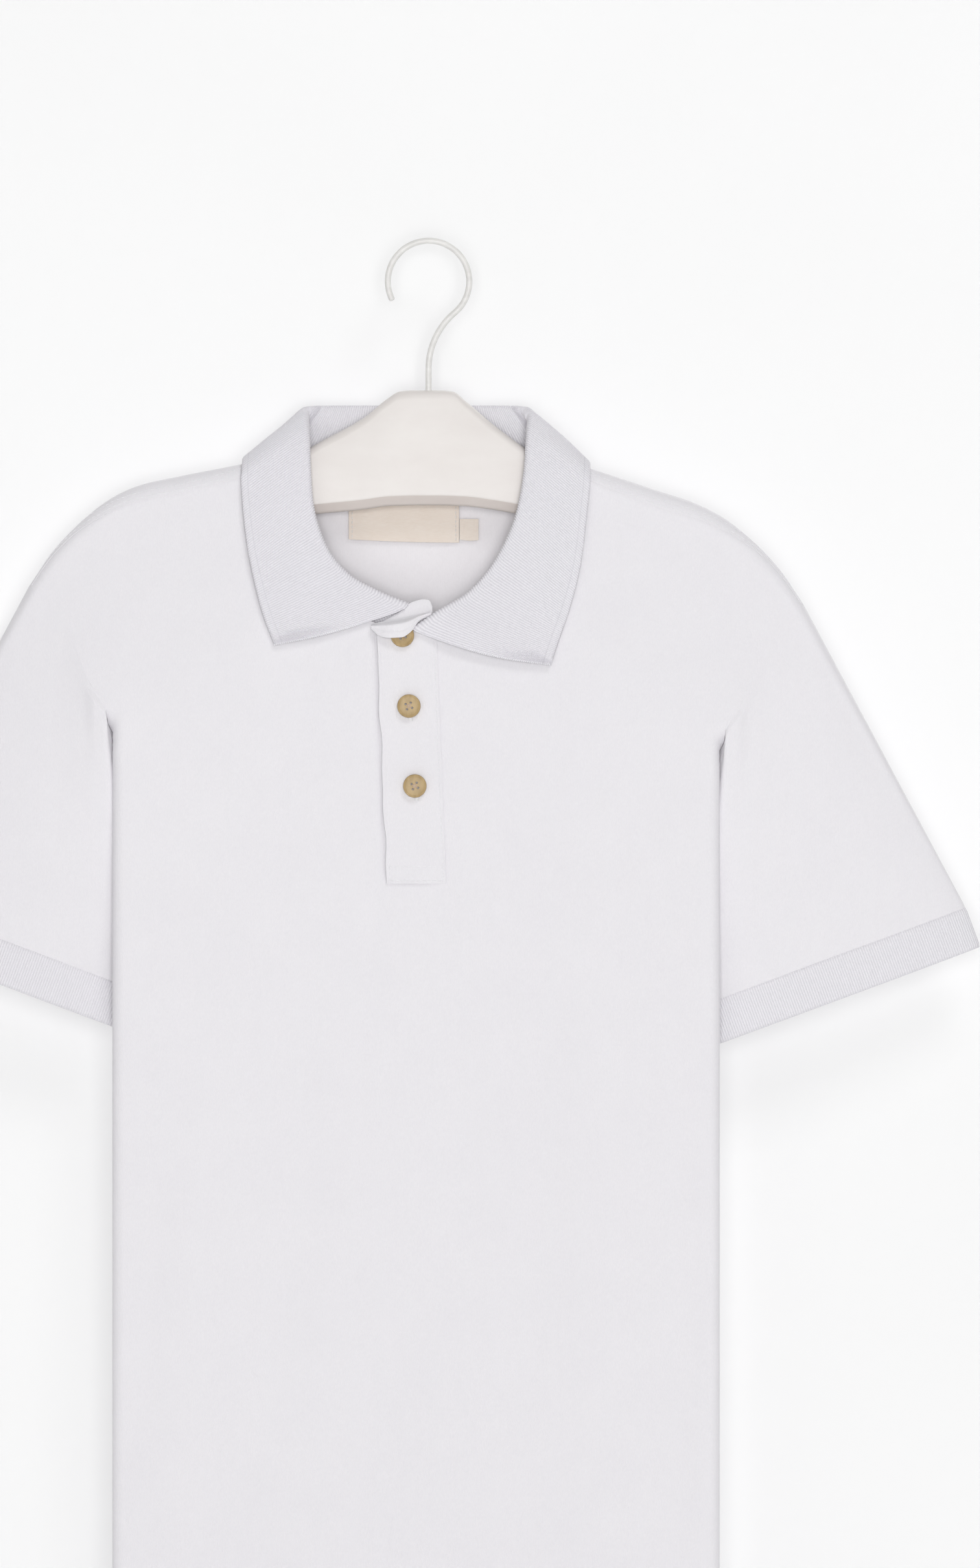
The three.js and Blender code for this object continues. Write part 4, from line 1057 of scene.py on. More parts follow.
    def relief(self, face: Face, reach: Array, drop: Array, left: Array) -> Array:
        """How far creases, seams and the hem move the cloth out."""
        form = self.form
        creases = self.front_creases if face is Face.FRONT else self.back_creases
        out = sum(crease.height(reach, drop) for crease in creases)
        out = out * (1 - smooth(136, 150, np.abs(reach)))
        if face is Face.FRONT:
            aside = reach - self.placket.centre(drop)
            calm = (1 - smooth(16, 26, np.abs(aside))) * (1 - smooth(248, 262, drop))
            beside = bell(aside + self.placket.half_width + 0.5, 0.8) * (1 - smooth(232, 243, drop))
            out = out * (1 - calm) - 1.2 * beside * smooth(112, 122, drop)
            below = bell(drop - self.placket.bottom_drop - 0.5, 0.8)
            out = out - 0.7 * below * (1 - smooth(14, 15.4, np.abs(aside)))
            after = bell(aside - self.placket.half_width - 0.3, 0.8)
            out = out - 0.35 * after * smooth(122, 140, drop) * (1 - smooth(241, 244, drop))
        wavy = np.sin(reach / 23 + drop / 61) * np.sin(drop / 37 - reach / 71)
        out = out + 0.12 * wavy * smooth(120, 170, drop) * (1 - smooth(136, 150, np.abs(reach)))
        out = out - 0.05 * bell(left, 1.0)
        hem = form.hem_drop - self.hem_height
        out = out + self.hem_rise * smooth(hem, hem + 1.4, drop)
        for row in self.hem_rows:
            out = out - 0.3 * bell(drop - hem - row, 0.7)
        pucker = np.sin(reach / 2.9) * bell(drop - hem - 3, 4)
        return out + 0.1 * pucker - 0.5 * bell(drop - form.hem_drop, 0.7)

    def wall(self, face: Face) -> Wall:
        """The panel as a wall of cloth."""
        points, reach, drop, left = self.grid(face)
        middle = sum(self.cells)
        out = self.relief(face, reach, drop, left)
        count = points.shape[1] - 1
        column = np.arange(count)
        from_middle = np.where(column >= middle, column - middle, middle - 1 - column)
        keep = np.ones((len(points) - 1, count), bool)
        if face is Face.BACK:
            wrap = 6
            keep[:wrap] = from_middle >= sum(self.cells[:3])
            out = out + 0.05 * bell(np.arange(len(points)), 0.8)[:, None]
        else:
            foot = int(np.argmin(np.abs(drop[:, middle] - self.placket.slot_bottom)))
            keep[:foot] = from_middle >= self.cells[0]
            out = out - 0.16 * bell(np.arange(len(points)), 0.8)[:, None]
        return Wall(points, self.jersey - 0.3, flip=face is Face.FRONT, keep=keep, out=out)

    def seams(self, thread: Thread) -> None:
        """Sews the hem and the two forward shoulder seams."""
        form = self.form
        hem = form.hem_drop - self.hem_height
        for face in Face:
            for side in (-1, 1):
                reach = np.linspace(0.5, form.side_reach - 6, 240)
                for drop in (hem + row for row in self.hem_rows):
                    line = form.point(face, side, reach, np.full_like(reach, drop))
                    ahead = unit(np.gradient(line, axis=0))
                    away = np.stack([ahead[:, 1], -ahead[:, 0], 0 * ahead[:, 0]], -1) * side * -face.value
                    thread.sew(line + away * (self.hem_rise - 0.25), away)
        for side in (-1, 1):
            reach = np.linspace(form.neck_x + 6, form.shoulder_x - 6, 90)
            for up in self.shoulder_rows:
                drop = form.ridge(reach) + np.maximum(0.3, form.forward_seam(reach) - up)
                line = form.point(Face.FRONT, side, reach, drop)
                thread.sew(line, form.outward(Face.FRONT, side * reach, drop))


@dataclass
class Sleeve:
    """One sleeve and its rib cuff."""

    form: Form
    panels: Panels
    side: Side
    cuff_outer: tuple[float, float] = (276.8, 273.3)
    cuff_inner: tuple[float, float] = (131.8, 327.0)
    band: float = 20.6
    half_depth: float = 11.0
    jersey: float = 1.4
    rib: float = 2.0
    pitch: float = 1.24
    fold_row: float = 171.0
    fold_share: float = 0.405
    behind_fold: float = 15.5
    beside_fold: float = 20.5
    fill_sharpness: int = 8
    creases: tuple[tuple[float, float, float, float], ...] = (
        (0.10, 0.34, 0.05, 0.45),
        (0.24, 0.30, 0.05, -0.5),
        (0.20, 0.72, 0.05, -0.4),
        (0.36, 0.70, 0.04, 0.5),
        (0.62, 0.35, 0.06, -0.8),
        (0.80, 0.55, 0.05, 0.7),
        (0.70, 0.78, 0.05, -0.6),
    )

    def shifted(self, corner: tuple[float, float], up: float) -> Array:
        """A corner of the cuff's lower edge, moved up the sleeve."""
        outer, inner = np.array(self.cuff_outer), np.array(self.cuff_inner)
        across = (inner - outer) / np.linalg.norm(inner - outer)
        return np.array(corner) + np.array([-across[1], across[0]]) * up

    def tube(self, shares: Array, up: float, depth: float) -> Array:
        """A ring across the flattened tube, a way up from the cuff's lower edge."""
        outer, inner = self.shifted(self.cuff_outer, up), self.shifted(self.cuff_inner, up)
        lie = ((1 - np.cos(2 * math.pi * shares)) / 2)[..., None]
        place = mix(outer, inner, lie)
        y = -depth * np.sin(2 * math.pi * shares)
        return self.form.hang(self.side.value * place[..., 0], y, place[..., 1])

    def armhole(self, count: int) -> tuple[Array, Array]:
        """The seam ring with the body.

        Args:
            count: Points on the front, and again on the back.

        Returns:
            The ring's points, and the share round the tube of each.
        """
        form, side = self.form, self.side.value
        halves, places = [], []
        even = np.linspace(0, 1, count + 1)
        for face in Face:
            start = float(self.panels.top(face, np.array(form.shoulder_x)))
            drop = np.linspace(start, form.underarm_drop, 400)
            reach = form.armhole(drop)
            share = (drop - start) / (self.panels.reference_drop - start)
            above = (start - self.panels.top(face, reach)) * (1 - smooth(0, 0.05, share))
            seam = form.point(face, side, reach, drop - above)
            before_fold = length_of(seam[drop <= self.fold_row]) / length_of(seam)
            halves.append(along(seam, even))
            places.append(np.interp(even, (0, before_fold, 1), (0, self.fold_share, 0.5)))
        ring = np.concatenate([halves[0], halves[1][-2::-1]])
        return ring, np.concatenate([places[0], 1 - places[1][-2::-1]])

    def sleeve(self, rows: int, count: int) -> Wall:
        """The sleeve, which bellies a little between the seams."""
        ring, places = self.armhole(count)
        end = self.tube(places, self.band, self.half_depth)
        share = np.linspace(0, 1, rows)[:, None]
        points = mix(ring[None], end[None], share[..., None])
        points = self.filled(points, share)
        around = places[None, :]
        out = 0.9 * np.sin(math.pi * share) * np.sin(2 * math.pi * around) ** 2
        for at, down, width, rise in self.creases:
            bend = at + 0.05 * np.sin((share - down) * 5)
            out = out + rise * bell(around - bend, width) * bell(share - down, 0.26)
        length = np.linalg.norm(end - ring, axis=-1)[None]
        out = out - 0.05 * bell(share * length, 1.0) - 0.3 * bell((1 - share) * length, 1.0)
        return Wall(points, self.jersey - 0.3, closed=True, flip=self.side.value < 0, out=out)

    def filled(self, points: Array, share: Array) -> Array:
        """Lets the cloth just outside the side fold lie nearly as far out as the fold.

        Args:
            points: The ruled sleeve, by row and column.
            share: How far down the sleeve each row is.

        Returns:
            The points, moved out where the ruled cloth would sink too soon.
        """
        beyond = np.abs(points[..., 0] - self.form.shirt_x) - self.form.fold_x
        level = mix(self.behind_fold, self.beside_fold, smooth(0, 4, beyond)) * smooth(-2.5, 0.5, beyond)
        level = level * (1 - smooth(0, 0.8, share)) * smooth(0, 0.03, share) * (1 - smooth(8, 24, beyond))
        depth = np.abs(points[..., 1])
        power = self.fill_sharpness
        eased = (depth**power + level**power) ** (1 / power)
        moved = points.copy()
        moved[..., 1] = np.sign(points[..., 1]) * eased
        return moved

    def cuff(self, rows: int) -> Wall:
        """The rib cuff with a rounded lower edge."""
        half = np.linspace(0, 1, 400)
        ring = self.tube(half, self.band, self.half_depth)
        steps = np.concatenate([[0], np.cumsum(np.linalg.norm(np.diff(ring, axis=0), axis=-1))])
        ribs = round(steps[-1] / self.pitch)
        places = np.interp(np.arange(4 * ribs) / (4 * ribs) * steps[-1], steps, half)
        up = mix(self.band + 0.2, 0.0, np.linspace(0, 1, rows))
        points = np.stack([self.tube(places, height, self.half_depth) for height in up])
        phase = np.cos(np.arange(4 * ribs) * math.pi / 2)[None]
        inside = (smooth(0, 1.0, up) * (1 - smooth(self.band - 1.2, self.band, up)))[:, None]
        out = 0.17 * phase * (0.35 + 0.65 * inside)
        out = out - 0.35 * bell(up - self.band, 0.8)[:, None] - 0.4 * bell(up, 0.6)[:, None]
        run = np.broadcast_to(np.arange(4 * ribs)[None] * self.pitch / 4, out.shape)
        weave = np.stack([run, np.broadcast_to(up[:, None], out.shape)], -1)
        return Wall(points, self.rib - 0.3, closed=True, flip=self.side.value < 0, out=out, weave=weave)

    def seams(self, thread: Thread) -> None:
        """Sews the sleeve down beside the cuff seam."""
        places = np.linspace(0, 1, 240)
        line = self.tube(places, self.band + 2.2, self.half_depth)
        ahead = unit(np.gradient(line, axis=0))
        down = unit(self.tube(places, self.band, self.half_depth) - line)
        away = unit(np.cross(ahead, down)) * -self.side.value
        thread.sew(line + away * 0.1, away)


@dataclass(frozen=True)
class CollarRow:
    """One section of the collar, by its share of the way along the neck seam."""

    seam: float
    tuck: float
    sink: float
    roll: tuple[float, float, float]
    edge: tuple[float, float, float]
    sag: float = 0.0


@dataclass
class Collar:
    """The flat-knit collar with its stand, roll and fall."""

    form: Form
    rib: float = 1.8
    roll_radius: float = 2.6
    pitch: float = 1.24
    band: float = 4.0
    right_end: tuple[float, float] = (-2.0, 118.5)
    left_end: tuple[float, float] = (4.0, 107.5)
    back: tuple[CollarRow, ...] = (
        CollarRow(0, 1.5, 4.3, (0, 12, 7), (0, 16.4, 52)),
        CollarRow(0.2, 1.2, 4.4, (33, 11.6, 7), (42, 15.6, 51.5)),
        CollarRow(0.33, -1, 3.6, (47, 10, 7.2), (69, 14, 48)),
        CollarRow(0.385, -1.9, 1.8, (52.4, 6.5, 8.5), (79.8, 11.8, 41)),
        CollarRow(0.403, -1.7, 0.8, (53.5, 3.4, 10), (83.6, 7.4, 37)),
    )
    right: tuple[CollarRow, ...] = (
        CollarRow(0.42, -1, 0, (54.7, 0, 12), (85.4, 0, 35.4)),
        CollarRow(0.445, -1.3, 1.4, (54.5, -3.4, 16), (85.5, -7.4, 38.4)),
        CollarRow(0.47, -1.5, 2.8, (54, -6.8, 21), (85.2, -12.2, 45)),
        CollarRow(0.54, -1, 3.9, (53, -10.6, 36), (83.5, -13.8, 62)),
        CollarRow(0.65, 1.5, 3.9, (49.5, -12, 58), (80.5, -15.8, 86)),
        CollarRow(0.77, 1, 3.9, (40, -13.6, 81), (75, -18, 108)),
        CollarRow(0.88, -2.4, 3.4, (25.5, -15.2, 99), (69.5, -19.6, 124), 1),
        CollarRow(0.95, -2, -0.6, (9.5, -17.6, 109), (66.6, -20.4, 133), 2),
        CollarRow(1, -1.4, -0.6, (-1.7, -19.4, 117.6), (66, -20.8, 135.1), 2.2),
    )
    left: tuple[CollarRow, ...] = (
        CollarRow(0.42, -1, 0, (53, 0, 12), (85.3, 0, 35.4)),
        CollarRow(0.445, -1.3, 1.4, (52.7, -3.4, 16), (85.6, -7.4, 38.4)),
        CollarRow(0.47, -1.5, 2.8, (52.3, -6.8, 21), (85.8, -12.2, 45)),
        CollarRow(0.54, -1, 3.9, (51.8, -10.6, 34), (84.9, -13.8, 60)),
        CollarRow(0.65, 1.5, 3.9, (50.5, -12, 54), (82.5, -15.6, 80)),
        CollarRow(0.77, 1.5, 3.9, (44, -13.4, 76), (78.5, -17.4, 99)),
        CollarRow(0.88, 1.5, 3.9, (33, -13.8, 90), (74.5, -18.6, 113), 0.5),
        CollarRow(0.95, 1.5, 3.9, (17, -13.8, 99), (70.5, -19.2, 123), 1),
        CollarRow(1, 1.5, 3.9, (3.6, -13.8, 104.6), (69.3, -19.6, 126), 1.5),
    )

    def neck_seam(self, side: int, end: tuple[float, float], shares: Array) -> tuple[Array, Array]:
        """Points along the neck seam from the centre back to a front end, and its direction."""
        form = self.form
        stops = [(Face.BACK, x, float(form.back_neck(x))) for x in (0, 20, 40, 56, 66, 73, 77)]
        stops.append((Face.BACK, form.neck_x, 36.3))
        stops.append((Face.FRONT, form.neck_x, 38.3))
        stops += [(Face.FRONT, x, float(form.front_neck(x))) for x in (79, 75, 69, 60, 48, 36, 24, 16)]
        stops.append((Face.FRONT, *end))
        points = np.array([
            form.hang(side * x, face.value * form.half_depth(face, side * x, drop), drop)
            for face, x, drop in stops
        ])
        line = through(points, 40)
        step = 0.002
        ahead = unit(along(line, np.minimum(1, shares + step)) - along(line, np.maximum(0, shares - step)))
        return along(line, shares), ahead

    def half(self, side: int, rows: Sequence[CollarRow], end: tuple[float, float], shares: Array) -> Array:
        """Start, roll, edge and sag of each section of one half.

        Args:
            side: The sign of x.
            rows: The table for this side.
            end: Where the neck seam ends at the front.
            shares: The sections, by their share of the way along the seam.

        Returns:
            Ten numbers for each section.
        """
        form = self.form
        at = tuple(row.seam for row in rows)

        def column(pick: Callable[[CollarRow], float]) -> Array:
            """One number of the table, at every share."""
            return Curve(at, tuple(pick(row) for row in rows))(shares)

        seam, ahead = self.neck_seam(side, end, shares)
        x, drop = seam[:, 0] - form.shirt_x, form.hanger_top_z - seam[:, 2]
        faces = [Face.BACK if y > 0 else Face.FRONT for y in seam[:, 1]]
        out = np.array([form.outward(f, np.array(a), np.array(d)) for f, a, d in zip(faces, x, drop)])
        to_neck = unit(np.cross(ahead * side, out))
        tuck, sink = column(lambda row: row.tuck), column(lambda row: row.sink)
        start = seam - to_neck * tuck[:, None] - out * sink[:, None]
        roll_x, roll_y, roll_drop = (column(lambda row, k=k: row.roll[k]) for k in range(3))
        edge_x, edge_y, edge_drop = (column(lambda row, k=k: row.edge[k]) for k in range(3))
        roll = form.hang(side * roll_x, roll_y, roll_drop)
        edge = form.hang(side * edge_x, edge_y, edge_drop)
        return np.concatenate([start, roll, edge, column(lambda row: row.sag)[:, None]], 1)

    def sections(self, fine: Array) -> tuple[Array, Array]:
        """The collar's main sections.

        Args:
            fine: Shares of the seam for one half, from 0 to 1.

        Returns:
            Profile points by row and section, and the direction along the roll.
        """
        left = self.half(-1, (*self.back, *self.left), self.left_end, fine)
        right = self.half(1, (*self.back, *self.right), self.right_end, fine)
        both = np.concatenate([left[::-1], right[1:]])
        start, roll, edge, sag = both[:, :3], both[:, 3:6], both[:, 6:9], both[:, 9:]
        ahead = unit(np.gradient(roll, axis=0))
        up = unit(unit(roll - start) + unit(roll - edge))
        out = unit(np.cross(up, ahead))
        radius = self.roll_radius
        profile = [start, None]
        for degrees in (0, 45, 90, 135, 180):
            angle = math.radians(degrees)
            profile.append(roll + up * radius * (math.sin(angle) - 1) - out * radius * math.cos(angle))
        profile[1] = mix(start, profile[2], 0.5)
        top = profile[-1]
        for share in (0.3, 0.65, 1.0):
            bulge = 4 * share * (1 - share)
            point = mix(top, edge, share) + out * bulge
            point[:, 2] -= (sag * bulge)[:, 0]
            profile.append(point)
        return np.array(profile), ahead

    def wall(self) -> Wall:
        """The collar as ribbed cloth, four columns to a rib."""
        coarse = np.linspace(0, 1, 240)
        profile, _ = self.sections(coarse)
        middle = profile[7]
        steps = np.concatenate([[0], np.cumsum(np.linalg.norm(np.diff(middle, axis=0), axis=-1))])
        ribs = round(steps[-1] / self.pitch)
        columns = 4 * ribs + 1
        at = np.interp(np.linspace(0, steps[-1], columns), steps, np.arange(len(steps)))
        low = np.minimum(at.astype(int), len(steps) - 2)
        part = (at - low)[None, :, None]
        profile = profile[:, low] * (1 - part) + profile[:, low + 1] * part
        fine = through(profile, 8)
        lengths = np.concatenate(
            [np.zeros((1, columns)), np.cumsum(np.linalg.norm(np.diff(fine, axis=0), axis=-1), axis=0)]
        )
        arc_start, arc_end, last = 16, 48, len(fine) - 1
        stand = np.linspace(0, arc_start, 5)[:-1]
        arc = np.linspace(arc_start, arc_end, 9)[:-1]
        fall = mix(arc_end, last, 1 - (1 - np.linspace(0, 1, 14)) ** 1.35)
        places = np.concatenate([stand, arc, fall])
        base = np.minimum(places.astype(int), last - 1)
        share = (places - base)[:, None, None]
        points = fine[base] * (1 - share) + fine[base + 1] * share
        run = lengths[base] * (1 - share[..., 0]) + lengths[base + 1] * share[..., 0]
        to_edge = run[-1] - run
        phase = np.cos(np.arange(columns) * math.pi / 2)[None]
        inside = smooth(self.band - 0.5, self.band + 0.7, to_edge)
        out = 0.17 * phase * mix(0.6, 1.0, inside) + 0.15 * (1 - inside) - 0.4 * bell(to_edge, 0.5)
        out = out - 0.3 * bell(to_edge - self.band, 0.6)
        station = np.broadcast_to(np.arange(columns)[None] * self.pitch / 4, out.shape)
        weave = np.stack([station, to_edge], -1)
        return Wall(points, self.rib - 0.3, out=out, weave=weave)

    def bind(self, wall: Wall, thread: Thread) -> None:
        """Adds the small loops of yarn that stand along the two short front ends.

        Args:
            wall: The collar's wall.
            thread: What collects the loops.
        """
        normals = wall.normals().reshape(wall.rows.shape)
        for end, inside in ((0, 4), (-1, -5)):
            edge, within = wall.rows[16:, end], wall.rows[16:, inside]
            shares = np.arange(0.004, 0.999, self.pitch * 0.8 / length_of(edge))
            tips, roots = along(edge, shares), along(within, shares)
            away = unit(along_values(edge, normals[16:, end], shares))
            ahead = unit(tips - roots)
            thread.strands(tips - ahead * 0.9 + away * 0.1, tips + ahead * 0.45 - away * 0.5, away)


@dataclass
class Buttons:
    """The three four-hole buttons, their thread and the buttonhole ends that show under them."""

    form: Form
    radius: float = 5.75
    thickness: float = 2.4
    hole: float = 0.6
    hole_circle: float = 1.8
    turn: float = 0.26
    stand: float = 2.1
    places: tuple[tuple[float, float], ...] = BUTTON_PLACES

    def disc(self, name: str) -> bpy.types.Object:
        """A button that lies on the ground plane, face up, with its holes cut."""
        half, radius = self.thickness / 2, self.radius
        profile = (
            (0.0, -half), (radius - 0.8, -half), (radius - 0.2, -half + 0.35), (radius, -half + 0.9),
            (radius - 0.05, half - 0.75), (radius - 0.2, half - 0.2), (radius - 0.5, half),
            (radius - 0.75, half - 0.04), (radius - 1.05, half - 0.18), (radius - 1.4, half - 0.24),
            (radius - 3.0, half - 0.3), (0.0, half - 0.32),
        )
        count = 64
        angles = np.arange(count) * 2 * math.pi / count
        points, faces = [], []
        rings = profile[1:-1]
        for away, height in rings:
            points += [(away * math.cos(a), away * math.sin(a), height) for a in angles]
        faces += grid_cells(len(rings), count).reshape(-1, 4).tolist()
        faces.append(tuple(reversed(range(count))))
        faces.append(tuple((len(rings) - 1) * count + i for i in range(count)))
        disc = make_object(name, np.array(points), faces, 50)
        for k in range(4):
            angle = self.turn + math.pi / 4 + k * math.pi / 2
            drill = self.drill(angle)
            cutter = disc.modifiers.new("hole", "BOOLEAN")
            cutter.object, cutter.operation, cutter.solver = drill, "DIFFERENCE", "EXACT"
            graph = bpy.context.evaluated_depsgraph_get()
            mesh = bpy.data.meshes.new_from_object(disc.evaluated_get(graph))
            disc.modifiers.clear()
            disc.data = mesh
            bpy.data.objects.remove(drill)
        mesh.polygons.foreach_set("use_smooth", [True] * len(mesh.polygons))
        mesh.set_sharp_from_angle(angle=math.radians(40))
        return disc

    def drill(self, angle: float) -> bpy.types.Object:
        """A round rod where one hole goes."""
        count = 20
        turn = np.arange(count) * 2 * math.pi / count
        x = self.hole_circle * math.cos(angle) + self.hole * np.cos(turn)
        y = self.hole_circle * math.sin(angle) + self.hole * np.sin(turn)
        low, high = np.full(count, -self.thickness), np.full(count, self.thickness)
        points = np.concatenate([np.stack([x, y, low], -1), np.stack([x, y, high], -1)])
        faces = [(i, (i + 1) % count, count + (i + 1) % count, count + i) for i in range(count)]
        faces += [tuple(reversed(range(count))), tuple(range(count, 2 * count))]
        return make_object("drill", points, faces, 30)

    def frame(self, x: float, drop: float) -> tuple[Array, Array, Array, Array]:
        """A button's middle, its right and up directions, and the direction it faces."""
        above = self.form.front(np.array(x), np.array(drop - self.radius), 0)
        below = self.form.front(np.array(x), np.array(drop + self.radius), 0)
        up = unit(above - below)
        right = np.array([1.0, 0.0, 0.0])
        out = unit(np.cross(right, up))
        middle = self.form.front(np.array(x), np.array(drop), self.stand + self.thickness / 2)
        return middle, right, up, out

    def build(self, finish: bpy.types.Material, thread: Thread) -> list[bpy.types.Object]:
        """Makes the buttons, and adds their thread.

        Args:
            finish: The buttons' material.
            thread: What collects the thread.

        Returns:
            The button pieces.
        """
        made = []
        for number, (x, drop) in enumerate(self.places, 1):
            disc = self.disc(f"button_{number}_disc")
            middle, right, up, out = self.frame(x, drop)
            turned = np.stack([right, up, out])
            count = len(disc.data.vertices)
            points = np.zeros(count * 3)
            disc.data.vertices.foreach_get("co", points)
            placed = points.reshape(-1, 3) @ turned + middle * MM
            disc.data.vertices.foreach_set("co", placed.ravel())
            disc.data.update()
            made.append(dress(disc, finish, [f"button_{number}"]))
            face = self.thickness / 2 - 0.3
            for k in (0, 1):
                angle = self.turn + math.pi / 4 + k * math.pi / 2
                reach = (right * math.cos(angle) + up * math.sin(angle)) * self.hole_circle
                for aside in (-0.22, 0.22):
                    across = np.cross(out, unit(reach)) * aside
                    ends = [middle + sign * reach + across + out * face for sign in (-1, 1)]
                    thread.strands(ends[0][None], ends[1][None], out[None])
        return made

    def buttonholes(self, thread: Thread, out: float) -> None:
        """Adds the bars of thread that show below the second and third button."""
        for x, drop in self.places[1:]:
            for k in range(9):
                low = drop + self.radius - 0.4 + 0.22 * k
                ends = [
                    self.form.front(np.array(x + 0.9 + side * 1.1), np.array(low + 0.1 * side), out)
                    for side in (-1, 1)
                ]
                away = self.form.outward(Face.FRONT, np.array(x), np.array(low))
                thread.strands(ends[0][None], ends[1][None], away[None])


@dataclass
class Labels:
    """The bare neck label and size tab on the inside of the back."""

    form: Form
    jersey: float = 1.4
    layer: float = 0.35
    satin: float = 1.0
    tilt: float = 0.03

    def wall(self, left: float, right: float, top: float, bottom: float, rows: int, columns: int) -> Wall:
        """A flat tape whose free lower edge waves a little."""
        u, v = np.meshgrid(np.linspace(0, 1, columns), np.linspace(0, 1, rows))
        x = mix(left, right, u)
        drop = mix(top, bottom, v) + self.tilt * (x - left) * v + 0.4 * np.sin(u * math.pi) * v
        wave = 0.3 * np.sin(u * 5.5 + 0.6) ** 2 * smooth(0.3, 1, v)
        inward = self.jersey + self.layer + self.satin + wave
        inward = inward - 0.25 * bell(np.minimum(x - left, right - x) - 1.6, 0.5)
        y = self.form.half_depth(Face.BACK, x, drop) - inward
        return Wall(self.form.hang(x, y, drop), self.satin - 0.4, flip=True)

    def seams(self, thread: Thread, left: float, right: float, top: float, bottom: float) -> None:
        """Sews the two short ends of the label."""
        for x in (left + 1.6, right - 1.6):
            drop = np.linspace(top + 1, bottom - 0.6 + self.tilt * (x - left), 20)
            y = self.form.half_depth(Face.BACK, x, drop) - self.jersey - self.layer - self.satin - 0.05
            line = self.form.hang(np.full_like(drop, x), y, drop)
            thread.sew(line, np.broadcast_to(np.array([0.0, -1.0, 0.0]), line.shape))


